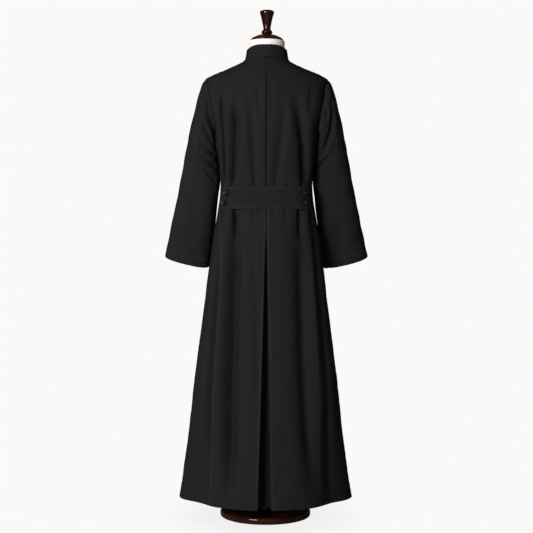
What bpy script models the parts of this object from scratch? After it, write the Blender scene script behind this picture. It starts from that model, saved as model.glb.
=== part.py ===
"""A black cassock standing on a limbless dress form.

Metres, +Z up. The origin is the centre of the round base's underside and the front faces -Y.
"Left" and "right" are the wearer's, so left is +X. Every piece of cloth is a wall of its own,
laid through sections of the garment; the hidden dress form is smooth and clear of the cloth.
"""
import math

import bpy
import bmesh
import numpy as np
from mathutils import Matrix, Vector

# ---------------------------------------------------------------- driving dimensions (metres)
CLOTH = 0.002              # thickness of the cassock's cloth
STIFF_CLOTH = 0.003        # collar and half belt, which are interlined
SEAM_GAP = 0.0004          # between pieces that meet at a seam
HEM_Z = 0.0574             # skirt hem above the floor
WAIST_Z = 0.978            # top of the skirt pleat, just under the belt
SHOULDER_Z = 1.388         # shoulder point
NECK_TOP_Z = 1.4538        # back neck seam
NECK_DROP_POWER = 4        # how late, going round, the neck seam sinks to the front
UNDERARM_Z = 1.200
SHOULDER_SLOPE = math.radians(24)
SHOULDER_TIP_REACH = 0.035 # the cloth's wall faces up the slope this near to the shoulder point
SHOULDER_TIP_HOLD = 1.2    # and does so fully within this much less than that reach
ARMHOLE_POINTS = 24        # corners of the armhole, which panels and sleeve share
SEAM_CORNER = 9            # the corner, counted from the shoulder, where a side seam ends
SHARP_EDGE = 50            # degrees past which a cloth edge is shaded sharp
SHARP_TURNED_EDGE = 35     # and an edge of a turned piece
NORMAL_STEP_Z = 0.002      # how far apart the points lie that give a surface's normal
NORMAL_STEP_ANGLE = 0.6    # degrees round the body
SLEEVE_STEP_STATION = 0.04 # sections along a sleeve
SLEEVE_STEP_TURN = 0.02    # radians round a sleeve


def armhole_z(corner):
    """Height of one of the armhole's corners; corner 0 is the shoulder point."""
    turn = 2 * math.pi * corner / ARMHOLE_POINTS
    return (SHOULDER_Z + UNDERARM_Z) / 2 + (SHOULDER_Z - UNDERARM_Z) / 2 * math.cos(turn)


SEAM_TOP_Z = armhole_z(SEAM_CORNER)

# Sections of the body and skirt. At each height: half width, how far the back and the front
# stand from the axis, squareness of the section (2 is an ellipse), and how much lower than
# the back its front lies, which tips the neck forward.
SECTION_COLUMNS = ("z", "half_width", "back", "front", "power", "front_drop")
SECTIONS = (
    (HEM_Z, 0.2800, 0.200, 0.195, 2.05, 0.0),
    (0.2600, 0.2507, 0.176, 0.176, 2.05, 0.0),
    (0.4700, 0.2237, 0.152, 0.156, 2.10, 0.0),
    (0.6700, 0.1980, 0.134, 0.140, 2.25, 0.0),
    (0.7870, 0.1834, 0.122, 0.130, 2.35, 0.0),
    (0.9000, 0.1665, 0.112, 0.119, 2.50, 0.0),
    (WAIST_Z, 0.1540, 0.101, 0.109, 2.80, 0.0),
    (1.0100, 0.1490, 0.097, 0.106, 2.90, 0.0),
    (1.0500, 0.1460, 0.096, 0.107, 2.90, 0.0),
    (1.1000, 0.1490, 0.100, 0.112, 2.80, 0.0),
    (1.1500, 0.1540, 0.105, 0.117, 2.70, 0.0),
    (UNDERARM_Z, 0.1600, 0.109, 0.120, 2.70, 0.0),
    (SEAM_TOP_Z, 0.1635, 0.111, 0.121, 2.70, 0.0),
    (1.2700, 0.1780, 0.112, 0.120, 2.60, 0.0),
    (1.3200, 0.1910, 0.109, 0.114, 2.40, 0.0),
    (1.3600, 0.1960, 0.102, 0.104, 2.10, 0.0),
    (SHOULDER_Z, 0.1965, 0.094, 0.094, 1.80, 0.0),
    (1.4010, 0.1772, 0.089, 0.088, 1.75, 0.003),
    (1.4138, 0.1490, 0.084, 0.081, 1.80, 0.008),
    (1.4264, 0.1180, 0.078, 0.074, 1.90, 0.015),
    (1.4390, 0.0895, 0.071, 0.067, 2.00, 0.025),
    (1.4470, 0.0765, 0.067, 0.062, 2.00, 0.032),
    (NECK_TOP_Z, 0.0695, 0.064, 0.060, 2.00, 0.037),
)

# Heights of the rows of faces, hem to neck. The side panels share the rows up to the armhole.
SKIRT_ROWS = (HEM_Z, 0.15, 0.25, 0.35, 0.46, 0.57, 0.67, 0.76, 0.85, 0.92, WAIST_Z)
BODICE_ROWS = (1.012, 1.046, 1.09, 1.14, 1.185)
ARMHOLE_ROWS = tuple(armhole_z(corner) for corner in range(SEAM_CORNER, -1, -1))
SHOULDER_ROWS = (1.401, 1.4155, 1.4300, 1.4435, 1.4538)
ROWS = SKIRT_ROWS + BODICE_ROWS + ARMHOLE_ROWS + SHOULDER_ROWS

# Seams, as angles round the body from centre back in degrees: height, side back, side front
SEAM_COLUMNS = ("z", "side_back", "side_front")
SEAMS = (
    (HEM_Z, 50.5, 106.0),
    (0.3000, 54.0, 106.0),
    (0.6000, 57.2, 106.5),
    (0.7700, 59.5, 107.5),
    (0.9000, 64.0, 109.0),
    (1.0500, 71.0, 110.5),
    (1.1500, 75.0, 107.5),
    (SEAM_TOP_Z, 76.9, 104.0),
)

# Largest folds: soft troughs (positive depth) and ridges (negative) that run up and down.
# Where each starts and ends, as angle from centre back (+ is the wearer's left) and height, its
# half width along the cloth on its left and right side, its depth, the length over which its
# ends fade out, and how many degrees its middle bows away from the straight line.
FOLD_COLUMNS = ("top_angle", "top_z", "low_angle", "low_z", "left_half", "right_half", "depth",
                "fade", "bow")
FOLDS = (
    # back bodice, between shoulder blades and belt
    (59.2, 1.326, 68.0, 1.060, 0.0060, 0.0065, 0.0090, 0.05, -1.2),
    (43.4, 1.290, 58.6, 1.044, 0.0140, 0.0150, 0.0235, 0.05, -2.0),
    (23.7, 1.289, 19.2, 1.044, 0.0140, 0.0110, 0.0100, 0.06, -0.15),
    (13.5, 1.358, 10.4, 1.276, 0.0100, 0.0080, 0.0040, 0.03, 0.5),
    (-7.3, 1.358, -8.3, 1.276, 0.0075, 0.0075, 0.0035, 0.03, 0.0),
    (-27.3, 1.289, -18.3, 1.044, 0.0150, 0.0120, 0.0085, 0.06, 0.2),
    (-43.4, 1.302, -62.6, 1.044, 0.0190, 0.0170, 0.0175, 0.06, -2.3),
    (-63.5, 1.362, -57.4, 1.273, 0.0085, 0.0090, 0.0045, 0.03, 2.0),
    # back skirt
    (49.6, 1.030, 47.2, 0.895, 0.0085, 0.0085, 0.0120, 0.04, 0.0),
    (46.6, 0.890, 34.0, 0.120, 0.0240, 0.0230, 0.0430, 0.14, 0.9),
    (21.3, 0.893, 11.2, 0.300, 0.0160, 0.0120, 0.0045, 0.12, -5.35),
    (65.6, 0.812, 60.5, 0.228, 0.0150, 0.0150, 0.0180, 0.10, 0.0),
    (-51.2, 1.030, -49.4, 0.895, 0.0085, 0.0085, 0.0090, 0.04, 0.0),
    (-50.0, 0.880, -43.4, 0.190, 0.0260, 0.0240, 0.0230, 0.15, 1.8),
    (-69.3, 0.969, -64.0, 0.124, 0.0180, 0.0150, 0.0090, 0.12, -1.0),
    # sides, and the slack between side and back near the hem
    (64.0, 0.270, 64.0, -0.200, 0.0850, 0.0850, 0.0350, 0.20, 0.0),
    (-64.0, 0.270, -64.0, -0.200, 0.0850, 0.0850, 0.0350, 0.20, 0.0),
    (103.0, 0.940, 99.0, 0.200, 0.0240, 0.0240, 0.0080, 0.20, 1.5),
    (-104.0, 0.940, -99.0, 0.240, 0.0240, 0.0240, 0.0080, 0.20, -1.5),
    # front bodice and skirt
    (128.0, 1.300, 124.0, 1.044, 0.0120, 0.0120, 0.0080, 0.09, 1.0),
    (147.0, 1.290, 152.0, 1.044, 0.0120, 0.0120, 0.0050, 0.10, 0.0),
    (-126.0, 1.310, -122.0, 1.044, 0.0120, 0.0120, 0.0080, 0.09, -1.0),
    (-149.0, 1.280, -154.0, 1.044, 0.0120, 0.0120, 0.0050, 0.10, 0.0),
    (125.0, WAIST_Z, 128.0, 0.860, 0.0110, 0.0110, 0.0090, 0.06, 0.0),
    (127.0, 0.880, 131.0, 0.180, 0.0170, 0.0220, 0.0140, 0.16, 1.5),
    (148.0, 0.940, 149.0, 0.300, 0.0200, 0.0200, 0.0080, 0.18, 0.0),
    (-127.0, WAIST_Z, -128.0, 0.860, 0.0110, 0.0110, 0.0090, 0.06, 0.0),
    (-128.5, 0.880, -126.5, 0.160, 0.0210, 0.0170, 0.0140, 0.16, -1.5),
    (-151.0, 0.940, -150.0, 0.340, 0.0200, 0.0200, 0.0080, 0.18, 0.0),
)
BELT_PRESS = 0.30          # share of a fold's depth left where the belt holds it
BELT_PRESS_REACH = 0.034   # the belt holds the cloth this far from its middle line
BELT_PRESS_FADE = 0.022    # and lets go over this height

# Centre-back pleat of the skirt, from waist to hem: half the mouth between the fold edges, how
# deep the underlay lies, half its width, and how far the mouth's middle leaves centre back.
PLEAT_COLUMNS = ("z", "mouth", "depth", "underlay", "shift")
PLEAT = (
    (HEM_Z, 0.0197, 0.0480, 0.0450, 0.0027),
    (0.3000, 0.0142, 0.0370, 0.0430, 0.0018),
    (0.6000, 0.0075, 0.0255, 0.0400, 0.0008),
    (0.8500, 0.0020, 0.0135, 0.0370, 0.0002),
    (0.9250, 0.00015, 0.0095, 0.0355, 0.0),
    (WAIST_Z, 0.00015, 0.0080, 0.0350, 0.0),
)
PLEAT_FOLD_RADIUS = 0.0035
UNDERLAY_LAP = 0.003       # the underlay reaches this far past the returns it is sewn to
UNDERLAY_GAP = 0.0009      # and lies this far behind them
UNDERLAY_COLUMNS = 4

# Centre-front overlap
LAP_LEFT = 0.018           # the left front passes the centre by this much
LAP_RIGHT = 0.020          # and the right front runs under it by this much
LAP_RISE = 0.0033          # how far the left front stands out over the right one
LAP_CLEAR = 0.003          # it is fully up this far before it meets the right front's edge
LAP_RUN = 0.045            # where it starts to rise, measured from the centre

# Armhole: an egg on the side of the body
ARMHOLE_BACK = 0.056
ARMHOLE_FRONT = 0.060

# Sleeve sections, shoulder to cuff: outer and inner point seen from behind, how far the middle
# hangs towards the front, half its depth, and how much lower the back edge lies than the front.
SLEEVE_COLUMNS = ("outer_x", "outer_z", "inner_x", "inner_z", "middle_y", "half_depth", "lean")
SLEEVE = (
    (0.1965, 1.3880, 0.1600, 1.2000, -0.002, 0.0580, 0.00),
    (0.2050, 1.3755, 0.1622, 1.1965, -0.002, 0.0585, 0.00),
    (0.2178, 1.3365, 0.1618, 1.1910, -0.004, 0.0595, 0.01),
    (0.2308, 1.2865, 0.1592, 1.1830, -0.008, 0.0610, 0.03),
    (0.2447, 1.2290, 0.1569, 1.1700, -0.016, 0.0620, 0.06),
    (0.2596, 1.1590, 0.1530, 1.1380, -0.030, 0.0610, 0.12),
    (0.2718, 1.0990, 0.1489, 1.0800, -0.041, 0.0590, 0.18),
    (0.2863, 1.0280, 0.1563, 1.0050, -0.051, 0.0560, 0.23),
    (0.3016, 0.9560, 0.1664, 0.9280, -0.063, 0.0530, 0.26),
    (0.3157, 0.8930, 0.1752, 0.8620, -0.077, 0.0505, 0.27),
    (0.3300, 0.8300, 0.1850, 0.7960, -0.090, 0.0485, 0.27),
)
SLEEVE_POWER = 2.5
SLEEVE_STEPS = (0, 0.6, 1.2, 2, 3, 4, 5, 5.5, 6, 6.5, 7, 7.5, 8, 8.5, 9, 9.5, 10)
ARMHOLE_EASE = 2.4         # the sleeve keeps the armhole's shape for this many sections
ARMHOLE_GAP = 0.0009       # between the armhole and the sleeve sewn into it
SHOULDER_COVER = 0.5       # how far down its sides the sleeve's top faces as the panels do

# Sleeve folds: start and end as section number and angle round the sleeve (0 is outside,
# 90 the back, 180 inside), half width and depth
SLEEVE_FOLD_COLUMNS = ("start", "start_angle", "end", "end_angle", "half_width", "depth")
SLEEVE_FOLD_RUN_OUT = 0.3  # a sleeve fold runs on past its ends by this share of its length
SLEEVE_FOLD_FADE = 0.5     # and fades out over this share
SLEEVE_FOLDS_LEFT = (
    (2.6, 74.0, 3.8, 132.0, 0.011, 0.0055),
    (4.2, 80.0, 4.8, 146.0, 0.009, 0.0065),
    (4.9, 90.0, 5.5, 140.0, 0.009, 0.0060),
    (5.6, 104.0, 6.1, 138.0, 0.009, 0.0045),
    (3.0, -96.0, 4.5, -148.0, 0.011, 0.0060),
    (5.2, -100.0, 6.1, -136.0, 0.013, 0.0035),
)
SLEEVE_FOLDS_RIGHT = (
    (1.9, 48.0, 4.7, 124.0, 0.009, 0.0080),
    (1.4, 80.0, 2.6, 120.0, 0.009, 0.0045),
    (2.7, 92.0, 3.5, 138.0, 0.009, 0.0055),
    (4.9, 98.0, 5.5, 144.0, 0.009, 0.0060),
    (3.2, -94.0, 4.6, -148.0, 0.011, 0.0060),
    (5.4, -106.0, 6.2, -150.0, 0.010, 0.0050),
)

# Stand collar: height above the neck seam, half width, back and front reach, drop at the front
COLLAR_COLUMNS = ("rise", "half_width", "back", "front", "front_drop")
COLLAR = (
    (0.0004, 0.0693, 0.0638, 0.0598, 0.0370),
    (0.0180, 0.0670, 0.0626, 0.0586, 0.0345),
    (0.0389, 0.0648, 0.0615, 0.0574, 0.0320),
)
COLLAR_SEGMENTS = 28
COLLAR_SIDE_FALL = 0.009   # how much lower its top edge lies at the sides and front
COLLAR_FALL_START = 25.0   # from this angle either way from centre back
COLLAR_FALL_RUN = 55.0     # and over this many degrees
COLLAR_LAP_LIFT = 0.0030   # its foot is this much higher where the fronts overlap
COLLAR_LAP_ANGLE = 125.0   # from this angle either way from centre back
COLLAR_LAP_FADE = 22.0     # and over this many degrees
COLLAR_OPENING = 0.0012    # half the gap between its ends at centre front

# Half belt across the back and its buttons
BELT_LOW_Z = 0.978
BELT_HIGH_Z = 1.046
BELT_LIFT = 0.0014         # how far it lies off the cloth beneath
BELT_ENDS = (67.5, -64.5)  # angle of its left and right end from centre back
BELT_SEGMENTS = 22
BELT_ROWS = 3
BUTTON_RADIUS = 0.0088
BUTTON_THICKNESS = 0.0040
BUTTON_SHANK = 0.0012      # clearance between a button and the cloth
BUTTON_SEGMENTS = 8
BUTTON_PROFILE = (         # share of the radius and of the thickness: foot, side, rim, dish
    (0.45, 0.00), (1.00, 0.55), (0.86, 1.00), (0.62, 0.72),
)
BELT_BUTTONS = (           # side, name, angle from centre back and height
    ("left", "upper", 60.0, 1.0275),
    ("left", "lower", 61.6, 0.9950),
    ("right", "upper", -55.3, 1.0275),
    ("right", "lower", -55.3, 0.9960),
)
FRONT_BUTTON_TOP_Z = 1.385
FRONT_BUTTON_PITCH = 0.078
FRONT_BUTTONS = 16

# Dress form and stand
TORSO_COLUMNS = ("z", "half_width", "back", "front")
TORSO = (
    (0.800, 0.120, 0.078, 0.084),
    (0.815, 0.134, 0.086, 0.094),
    (0.880, 0.140, 0.088, 0.098),
    (0.950, 0.132, 0.082, 0.092),
    (1.020, 0.122, 0.078, 0.088),
    (1.090, 0.126, 0.082, 0.094),
    (1.160, 0.136, 0.088, 0.102),
    (1.240, 0.148, 0.094, 0.106),
    (1.310, 0.164, 0.092, 0.098),
    (1.355, 0.170, 0.082, 0.084),
    (1.382, 0.158, 0.072, 0.072),
    (1.402, 0.120, 0.064, 0.062),
    (1.420, 0.083, 0.058, 0.055),
    (1.440, 0.063, 0.0555, 0.0535),
    (1.465, 0.0570, 0.0550, 0.0530),
    (1.5117, 0.0565, 0.0548, 0.0528),
)
TORSO_SEGMENTS = 20
CAP_PROFILE = (            # radius, height above the neck: a turned cap
    (0.0500, 0.0000), (0.0518, 0.0016), (0.0518, 0.0040), (0.0490, 0.0078),
    (0.0380, 0.0142), (0.0256, 0.0190), (0.0150, 0.0212),
)
CAP_Z = 1.5120
FINIAL_PROFILE = (         # radius, height above the cap: ball, waist and flared knob
    (0.0120, 0.0000), (0.0165, 0.0032), (0.0176, 0.0070), (0.0152, 0.0115), (0.0115, 0.0155),
    (0.0118, 0.0205), (0.0152, 0.0388), (0.0194, 0.0572), (0.0224, 0.0680), (0.0220, 0.0724),
    (0.0175, 0.0753), (0.0085, 0.0766),
)
BASE_PROFILE = (           # radius, height: round foot with a stepped top
    (0.1418, 0.0000), (0.1434, 0.0015), (0.1441, 0.0060), (0.1438, 0.0140), (0.1412, 0.0190),
    (0.1360, 0.0212), (0.1280, 0.0218), (0.1000, 0.0240), (0.0930, 0.0285), (0.0420, 0.0310),
)
POLE_RADIUS = 0.0160
TURNED_SEGMENTS = 16
BASE_SEGMENTS = 32

# ---------------------------------------------------------------- materials
FINISHES = {               # colour, roughness, metallic
    "black_cloth": ((0.017, 0.017, 0.018), 0.88, 0.0),
    "dark_button": ((0.022, 0.020, 0.020), 0.35, 0.0),
    "ivory_cover": ((0.87, 0.83, 0.75), 0.80, 0.0),
    "dark_wood": ((0.050, 0.018, 0.010), 0.22, 0.0),
    "pole_steel": ((0.30, 0.30, 0.31), 0.35, 1.0),
}


def finish(name):
    """The named material, made once."""
    material = bpy.data.materials.get(name)
    if material is None:
        colour, roughness, metallic = FINISHES[name]
        material = bpy.data.materials.new(name)
        material.use_nodes = True
        shader = material.node_tree.nodes["Principled BSDF"]
        shader.inputs["Base Color"].default_value = (*colour, 1.0)
        shader.inputs["Roughness"].default_value = roughness
        shader.inputs["Metallic"].default_value = metallic
    return material


# ---------------------------------------------------------------- tables and curves
def table(columns, rows):
    """A table's columns by name, each an array."""
    return {name: np.array([row[i] for row in rows], float) for i, name in enumerate(columns)}


def smooth_slopes(xs, ys):
    """Slopes of a curve through the points that never overshoots them."""
    steps = np.diff(ys) / np.diff(xs)
    slopes = np.zeros(len(xs))
    slopes[0] = steps[0]
    slopes[-1] = steps[-1]
    for i in range(1, len(xs) - 1):
        if steps[i - 1] * steps[i] > 0:
            before = xs[i] - xs[i - 1]
            after = xs[i + 1] - xs[i]
            w1 = 2 * after + before
            w2 = after + 2 * before
            slopes[i] = (w1 + w2) / (w1 / steps[i - 1] + w2 / steps[i])
    return slopes


class Curves:
    """Smooth curves through the columns of a table, read at any place along its first one."""

    def __init__(self, columns, rows, along=None):
        data = table(columns, rows)
        self.xs = np.array(along, float) if along is not None else data[columns[0]]
        self.data = {name: (ys, smooth_slopes(self.xs, ys)) for name, ys in data.items()}

    def at(self, x, name):
        ys, slopes = self.data[name]
        x = min(max(x, self.xs[0]), self.xs[-1])
        i = min(int(np.searchsorted(self.xs, x, side="right")) - 1, len(self.xs) - 2)
        span = self.xs[i + 1] - self.xs[i]
        t = (x - self.xs[i]) / span
        return ((1 + 2 * t) * (1 - t) ** 2 * ys[i] + t * (1 - t) ** 2 * span * slopes[i]
                + t * t * (3 - 2 * t) * ys[i + 1] + t * t * (t - 1) * span * slopes[i + 1])


BODY = Curves(SECTION_COLUMNS, SECTIONS)
SEAM = Curves(SEAM_COLUMNS, SEAMS)
PLEATS = Curves(PLEAT_COLUMNS, PLEAT)
SLEEVES = Curves(SLEEVE_COLUMNS, SLEEVE, along=range(len(SLEEVE)))


def ease(t):
    """0 below 0, 1 above 1, and smooth between."""
    t = min(max(t, 0.0), 1.0)
    return t * t * (3 - 2 * t)


# ---------------------------------------------------------------- the body's surface
def body_radius(z, angle):
    """Distance from the axis to the cloth without its folds."""
    half_width = BODY.at(z, "half_width")
    depth = BODY.at(z, "back" if math.cos(angle) > 0 else "front")
    power = BODY.at(z, "power")
    return (abs(math.sin(angle) / half_width) ** power
            + abs(math.cos(angle) / depth) ** power) ** (-1 / power)


def outward(z, angle):
    """Level direction square to that section, outwards."""
    half_width = BODY.at(z, "half_width")
    depth = BODY.at(z, "back" if math.cos(angle) > 0 else "front")
    power = BODY.at(z, "power") - 1
    x = math.copysign(abs(math.sin(angle) / half_width) ** power / half_width, math.sin(angle))
    y = math.copysign(abs(math.cos(angle) / depth) ** power / depth, math.cos(angle))
    return x / math.hypot(x, y), y / math.hypot(x, y)


def fold_depth(z, angle, radius):
    """How far the folds push the cloth in at this place."""
    total = 0.0
    for row in FOLDS:
        fold = dict(zip(FOLD_COLUMNS, row))
        if not fold["low_z"] - fold["fade"] < z < fold["top_z"] + fold["fade"]:
            continue
        along = min(max((fold["top_z"] - z) / (fold["top_z"] - fold["low_z"]), 0.0), 1.0)
        middle = (fold["top_angle"] + (fold["low_angle"] - fold["top_angle"]) * along
                  + fold["bow"] * 4 * along * (1 - along))
        off = radius * ((angle - math.radians(middle) + math.pi) % (2 * math.pi) - math.pi)
        strength = (ease((fold["top_z"] + fold["fade"] - z) / (2 * fold["fade"]))
                    * ease((z - fold["low_z"] + fold["fade"]) / (2 * fold["fade"])))
        half_width = fold["left_half" if off > 0 else "right_half"]
        total += fold["depth"] * strength * math.exp(-(off / half_width) ** 2)
    belt_middle = (BELT_LOW_Z + BELT_HIGH_Z) / 2
    near_belt = 1 - ease((abs(z - belt_middle) - BELT_PRESS_REACH) / BELT_PRESS_FADE)
    return total * (1 - (1 - BELT_PRESS) * near_belt)


def body_point(z, degrees, folded=True):
    """The outer face of the cloth at a nominal height and an angle from centre back."""
    angle = math.radians(degrees)
    radius = body_radius(z, angle)
    push = fold_depth(z, angle, radius) if folded else 0.0
    out_x, out_y = outward(z, angle)
    drop = BODY.at(z, "front_drop") * ((1 - math.cos(angle)) / 2) ** NECK_DROP_POWER
    return Vector((radius * math.sin(angle) - push * out_x,
                   radius * math.cos(angle) - push * out_y, z - drop))


def body_normal(z, degrees, folded=True):
    """Unit normal of that surface, outwards."""
    above = body_point(min(z + NORMAL_STEP_Z, NECK_TOP_Z), degrees, folded)
    below = body_point(max(z - NORMAL_STEP_Z, HEM_Z), degrees, folded)
    onward = body_point(z, degrees + NORMAL_STEP_ANGLE, folded)
    behind = body_point(z, degrees - NORMAL_STEP_ANGLE, folded)
    normal = (above - below).cross(onward - behind).normalized()
    outwards = Vector((math.sin(math.radians(degrees)), math.cos(math.radians(degrees)), 0))
    if normal.dot(outwards) < 0:
        normal.negate()
    side = math.copysign(1, outwards.x)
    tip = Vector((side * BODY.at(SHOULDER_Z, "half_width"), 0, SHOULDER_Z))
    away = (body_point(z, degrees, folded) - tip).length / SHOULDER_TIP_REACH
    near = ease(SHOULDER_TIP_HOLD - away)
    tip_normal = Vector((side * math.sin(SHOULDER_SLOPE), 0, math.cos(SHOULDER_SLOPE)))
    return normal.lerp(tip_normal, near).normalized()


def armhole_y(z, side):
    """Where the armhole's edge lies at a height: side is 1 for its back, -1 for its front."""
    middle = (SHOULDER_Z + UNDERARM_Z) / 2
    share = (z - middle) / (SHOULDER_Z - middle)
    reach = ARMHOLE_BACK if side > 0 else ARMHOLE_FRONT
    return SLEEVES.at(0, "middle_y") + side * reach * math.sqrt(max(0.0, 1 - share * share))


def angle_at_y(z, y):
    """Angle from centre back of the unfolded section's point on the +X side at this y."""
    depth = BODY.at(z, "back" if y > 0 else "front")
    power = BODY.at(z, "power")
    x = BODY.at(z, "half_width") * (1 - min(abs(y) / depth, 1) ** power) ** (1 / power)
    return math.degrees(math.atan2(x, y))


def armhole_angle(z, side):
    return angle_at_y(z, armhole_y(z, side))


def gap_angle(z, degrees, gap=SEAM_GAP / 2):
    """The angle that half a seam's gap takes up at this place."""
    return math.degrees(gap / body_radius(z, math.radians(degrees)))


def side_back_edge(z):
    """Angle of the back panel's outer edge: seam, then armhole, then shoulder seam."""
    if z <= SEAM_TOP_Z:
        return SEAM.at(z, "side_back")
    if z < SHOULDER_Z:
        return armhole_angle(z, 1)
    return 90.0


def side_front_edge(z):
    """Angle of the front panel's outer edge."""
    if z <= SEAM_TOP_Z:
        return SEAM.at(z, "side_front")
    if z < SHOULDER_Z:
        return armhole_angle(z, -1)
    return 90.0


# ---------------------------------------------------------------- meshes
def link(name, mesh, material_name):
    obj = bpy.data.objects.new(name, mesh)
    obj.data.materials.append(finish(material_name))
    bpy.context.collection.objects.link(obj)
    return obj


def wall(name, rows, thickness, material_name, closed=False):
    """A cloth wall from rows of (point, normal) pairs; None leaves a place empty.

    The outer face goes through the points and the inner one lies a thickness behind them;
    every free edge is closed between the two.
    """
    bm = bmesh.new()
    outer = {}
    inner = {}
    for i, row in enumerate(rows):
        for j, pair in enumerate(row):
            if pair is not None:
                point, normal = pair
                outer[i, j] = bm.verts.new(point)
                inner[i, j] = bm.verts.new(point - normal * thickness)
    width = len(rows[0])
    used = {}
    for i in range(len(rows) - 1):
        for j in range(width if closed else width - 1):
            k = (j + 1) % width
            corners = [(i, j), (i, k), (i + 1, k), (i + 1, j)]
            if not all(corner in outer for corner in corners):
                continue
            bm.faces.new([outer[c] for c in corners])
            bm.faces.new([inner[c] for c in reversed(corners)])
            for a, b in zip(corners, corners[1:] + corners[:1]):
                used[a, b] = True
    for a, b in used:
        if (b, a) not in used:
            bm.faces.new((outer[b], outer[a], inner[a], inner[b]))
    for vert in [v for v in bm.verts if not v.link_faces]:
        bm.verts.remove(vert)
    bmesh.ops.recalc_face_normals(bm, faces=bm.faces)
    return smooth_object(name, bm, material_name, SHARP_EDGE)


def smooth_object(name, bm, material_name, sharp_degrees):
    mesh = bpy.data.meshes.new(name)
    bm.to_mesh(mesh)
    bm.free()
    mesh.shade_smooth()
    mesh.set_sharp_from_angle(angle=math.radians(sharp_degrees))
    return link(name, mesh, material_name)


def loft(name, rings, material_name):
    """A closed solid through rings of points, bottom to top, with flat ends."""
    bm = bmesh.new()
    loops = [[bm.verts.new(point) for point in ring] for ring in rings]
    for low, high in zip(loops, loops[1:]):
        for j in range(len(low)):
            k = (j + 1) % len(low)
            bm.faces.new((low[j], low[k], high[k], high[j]))
    bm.faces.new(list(reversed(loops[0])))
    bm.faces.new(loops[-1])
    bmesh.ops.recalc_face_normals(bm, faces=bm.faces)
    return smooth_object(name, bm, material_name, SHARP_TURNED_EDGE)


def turned(name, profile, segments, material_name, base=(0.0, 0.0, 0.0)):
    """A solid of revolution about +Z through (radius, height) pairs."""
    rings = []
    for radius, height in profile:
        ring = []
        for k in range(segments):
            turn = 2 * math.pi * k / segments
            ring.append(Vector((radius * math.cos(turn) + base[0],
                                radius * math.sin(turn) + base[1], height + base[2])))
        rings.append(ring)
    return loft(name, rings, material_name)


# ---------------------------------------------------------------- body panels
def surface_pair(z, degrees, raised=0.0, folded=True):
    """Point and normal of the body's surface, raised along the normal."""
    normal = body_normal(z, degrees, folded)
    return (body_point(z, degrees, folded) + normal * raised, normal)


def spread(first, last, count):
    return [first + (last - first) * k / (count - 1) for k in range(count)]


def mirror_pair(pair):
    point, normal = pair
    return (Vector((-point.x, point.y, point.z)), Vector((-normal.x, normal.y, normal.z)))


BACK_COLUMNS = 18
PLEAT_TURNS = (0.89, 0.50, 0.11)       # shares of the turn round the pleat's fold edge
RETURN_SHARES = (0.0, 0.5, 0.85)       # places along the pleat's return, from its inner end


def pleat_columns(z, side):
    """Points of the pleat's return and fold edge at a height, and where the panel starts.

    side is 1 for the left panel. The return runs from the underlay out to the fold edge and
    turns there into the panel.
    """
    shift = PLEATS.at(z, "shift")
    mouth = PLEATS.at(z, "mouth")
    depth = PLEATS.at(z, "depth")
    reach = PLEATS.at(z, "underlay")
    radius = PLEAT_FOLD_RADIUS
    face_y = body_radius(z, 0.0)
    centre = Vector((shift + side * (mouth + radius), face_y - radius, z))
    end = Vector((shift + side * reach, face_y - depth, z))
    way = (end - centre).normalized()
    facing = Vector((side * way.y, -side * way.x, 0))
    start = centre + facing * radius
    pairs = [(end + (start - end) * share, facing) for share in RETURN_SHARES]
    last_turn = math.atan2(-side * facing.x, facing.y)
    for share in PLEAT_TURNS:
        turn = last_turn * share
        direction = Vector((-side * math.sin(turn), math.cos(turn), 0))
        pairs.append((centre + direction * radius, direction))
    return pairs, math.degrees(math.atan2(centre.x, face_y))


def back_rows(side):
    rows = []
    folds = len(RETURN_SHARES) + len(PLEAT_TURNS)
    for z in ROWS:
        edge = side * side_back_edge(z)
        edge -= side * gap_angle(z, edge)
        if z <= WAIST_Z:
            pairs, first = pleat_columns(z, side)
        else:
            pairs, first = [None] * folds, side * gap_angle(z, 0.0)
        main = [surface_pair(z, degrees) for degrees in spread(first, edge, BACK_COLUMNS)]
        rows.append(pairs + main)
    return rows


def build_backs():
    wall("back_left", back_rows(1), CLOTH, "black_cloth")
    wall("back_right", back_rows(-1), CLOTH, "black_cloth")


def build_underlay():
    rows = []
    for z in SKIRT_ROWS:
        shift = PLEATS.at(z, "shift")
        half = PLEATS.at(z, "underlay") + UNDERLAY_LAP
        y = body_radius(z, 0.0) - PLEATS.at(z, "depth") - UNDERLAY_GAP
        across = spread(half, -half, UNDERLAY_COLUMNS)
        rows.append([(Vector((shift + x, y, z)), Vector((0, 1, 0))) for x in across])
    wall("pleat_underlay", rows, CLOTH, "black_cloth")


def side_rows(side):
    """Rows of a side panel, whose top edge is the armhole's lowest stretch."""
    corners = range(SEAM_CORNER, ARMHOLE_POINTS - SEAM_CORNER + 1)
    tops = [armhole_z(corner) - SEAM_GAP / 2 for corner in corners]
    angles = [armhole_angle(armhole_z(corner), 1 if 2 * corner <= ARMHOLE_POINTS else -1)
              for corner in corners]
    shares = [(angle - angles[0]) / (angles[-1] - angles[0]) for angle in angles]
    level = SKIRT_ROWS + BODICE_ROWS[:-1]
    bent = BODICE_ROWS[-1:] + (SEAM_TOP_Z,)
    rows = []
    for z in level + bent:
        bend = (z - level[-1]) / (SEAM_TOP_Z - level[-1]) if z in bent else 0.0
        row = []
        for share, top in zip(shares, tops):
            height = z - (SEAM_TOP_Z - top) * bend
            first = SEAM.at(height, "side_back")
            last = SEAM.at(height, "side_front")
            first += gap_angle(height, first)
            last -= gap_angle(height, last)
            row.append(surface_pair(height, side * (first + (last - first) * share)))
        rows.append(row)
    return rows


def build_sides():
    for name, side in (("side_left", 1), ("side_right", -1)):
        wall(name, side_rows(side), CLOTH, "black_cloth")


FRONT_COLUMNS = 12


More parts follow.
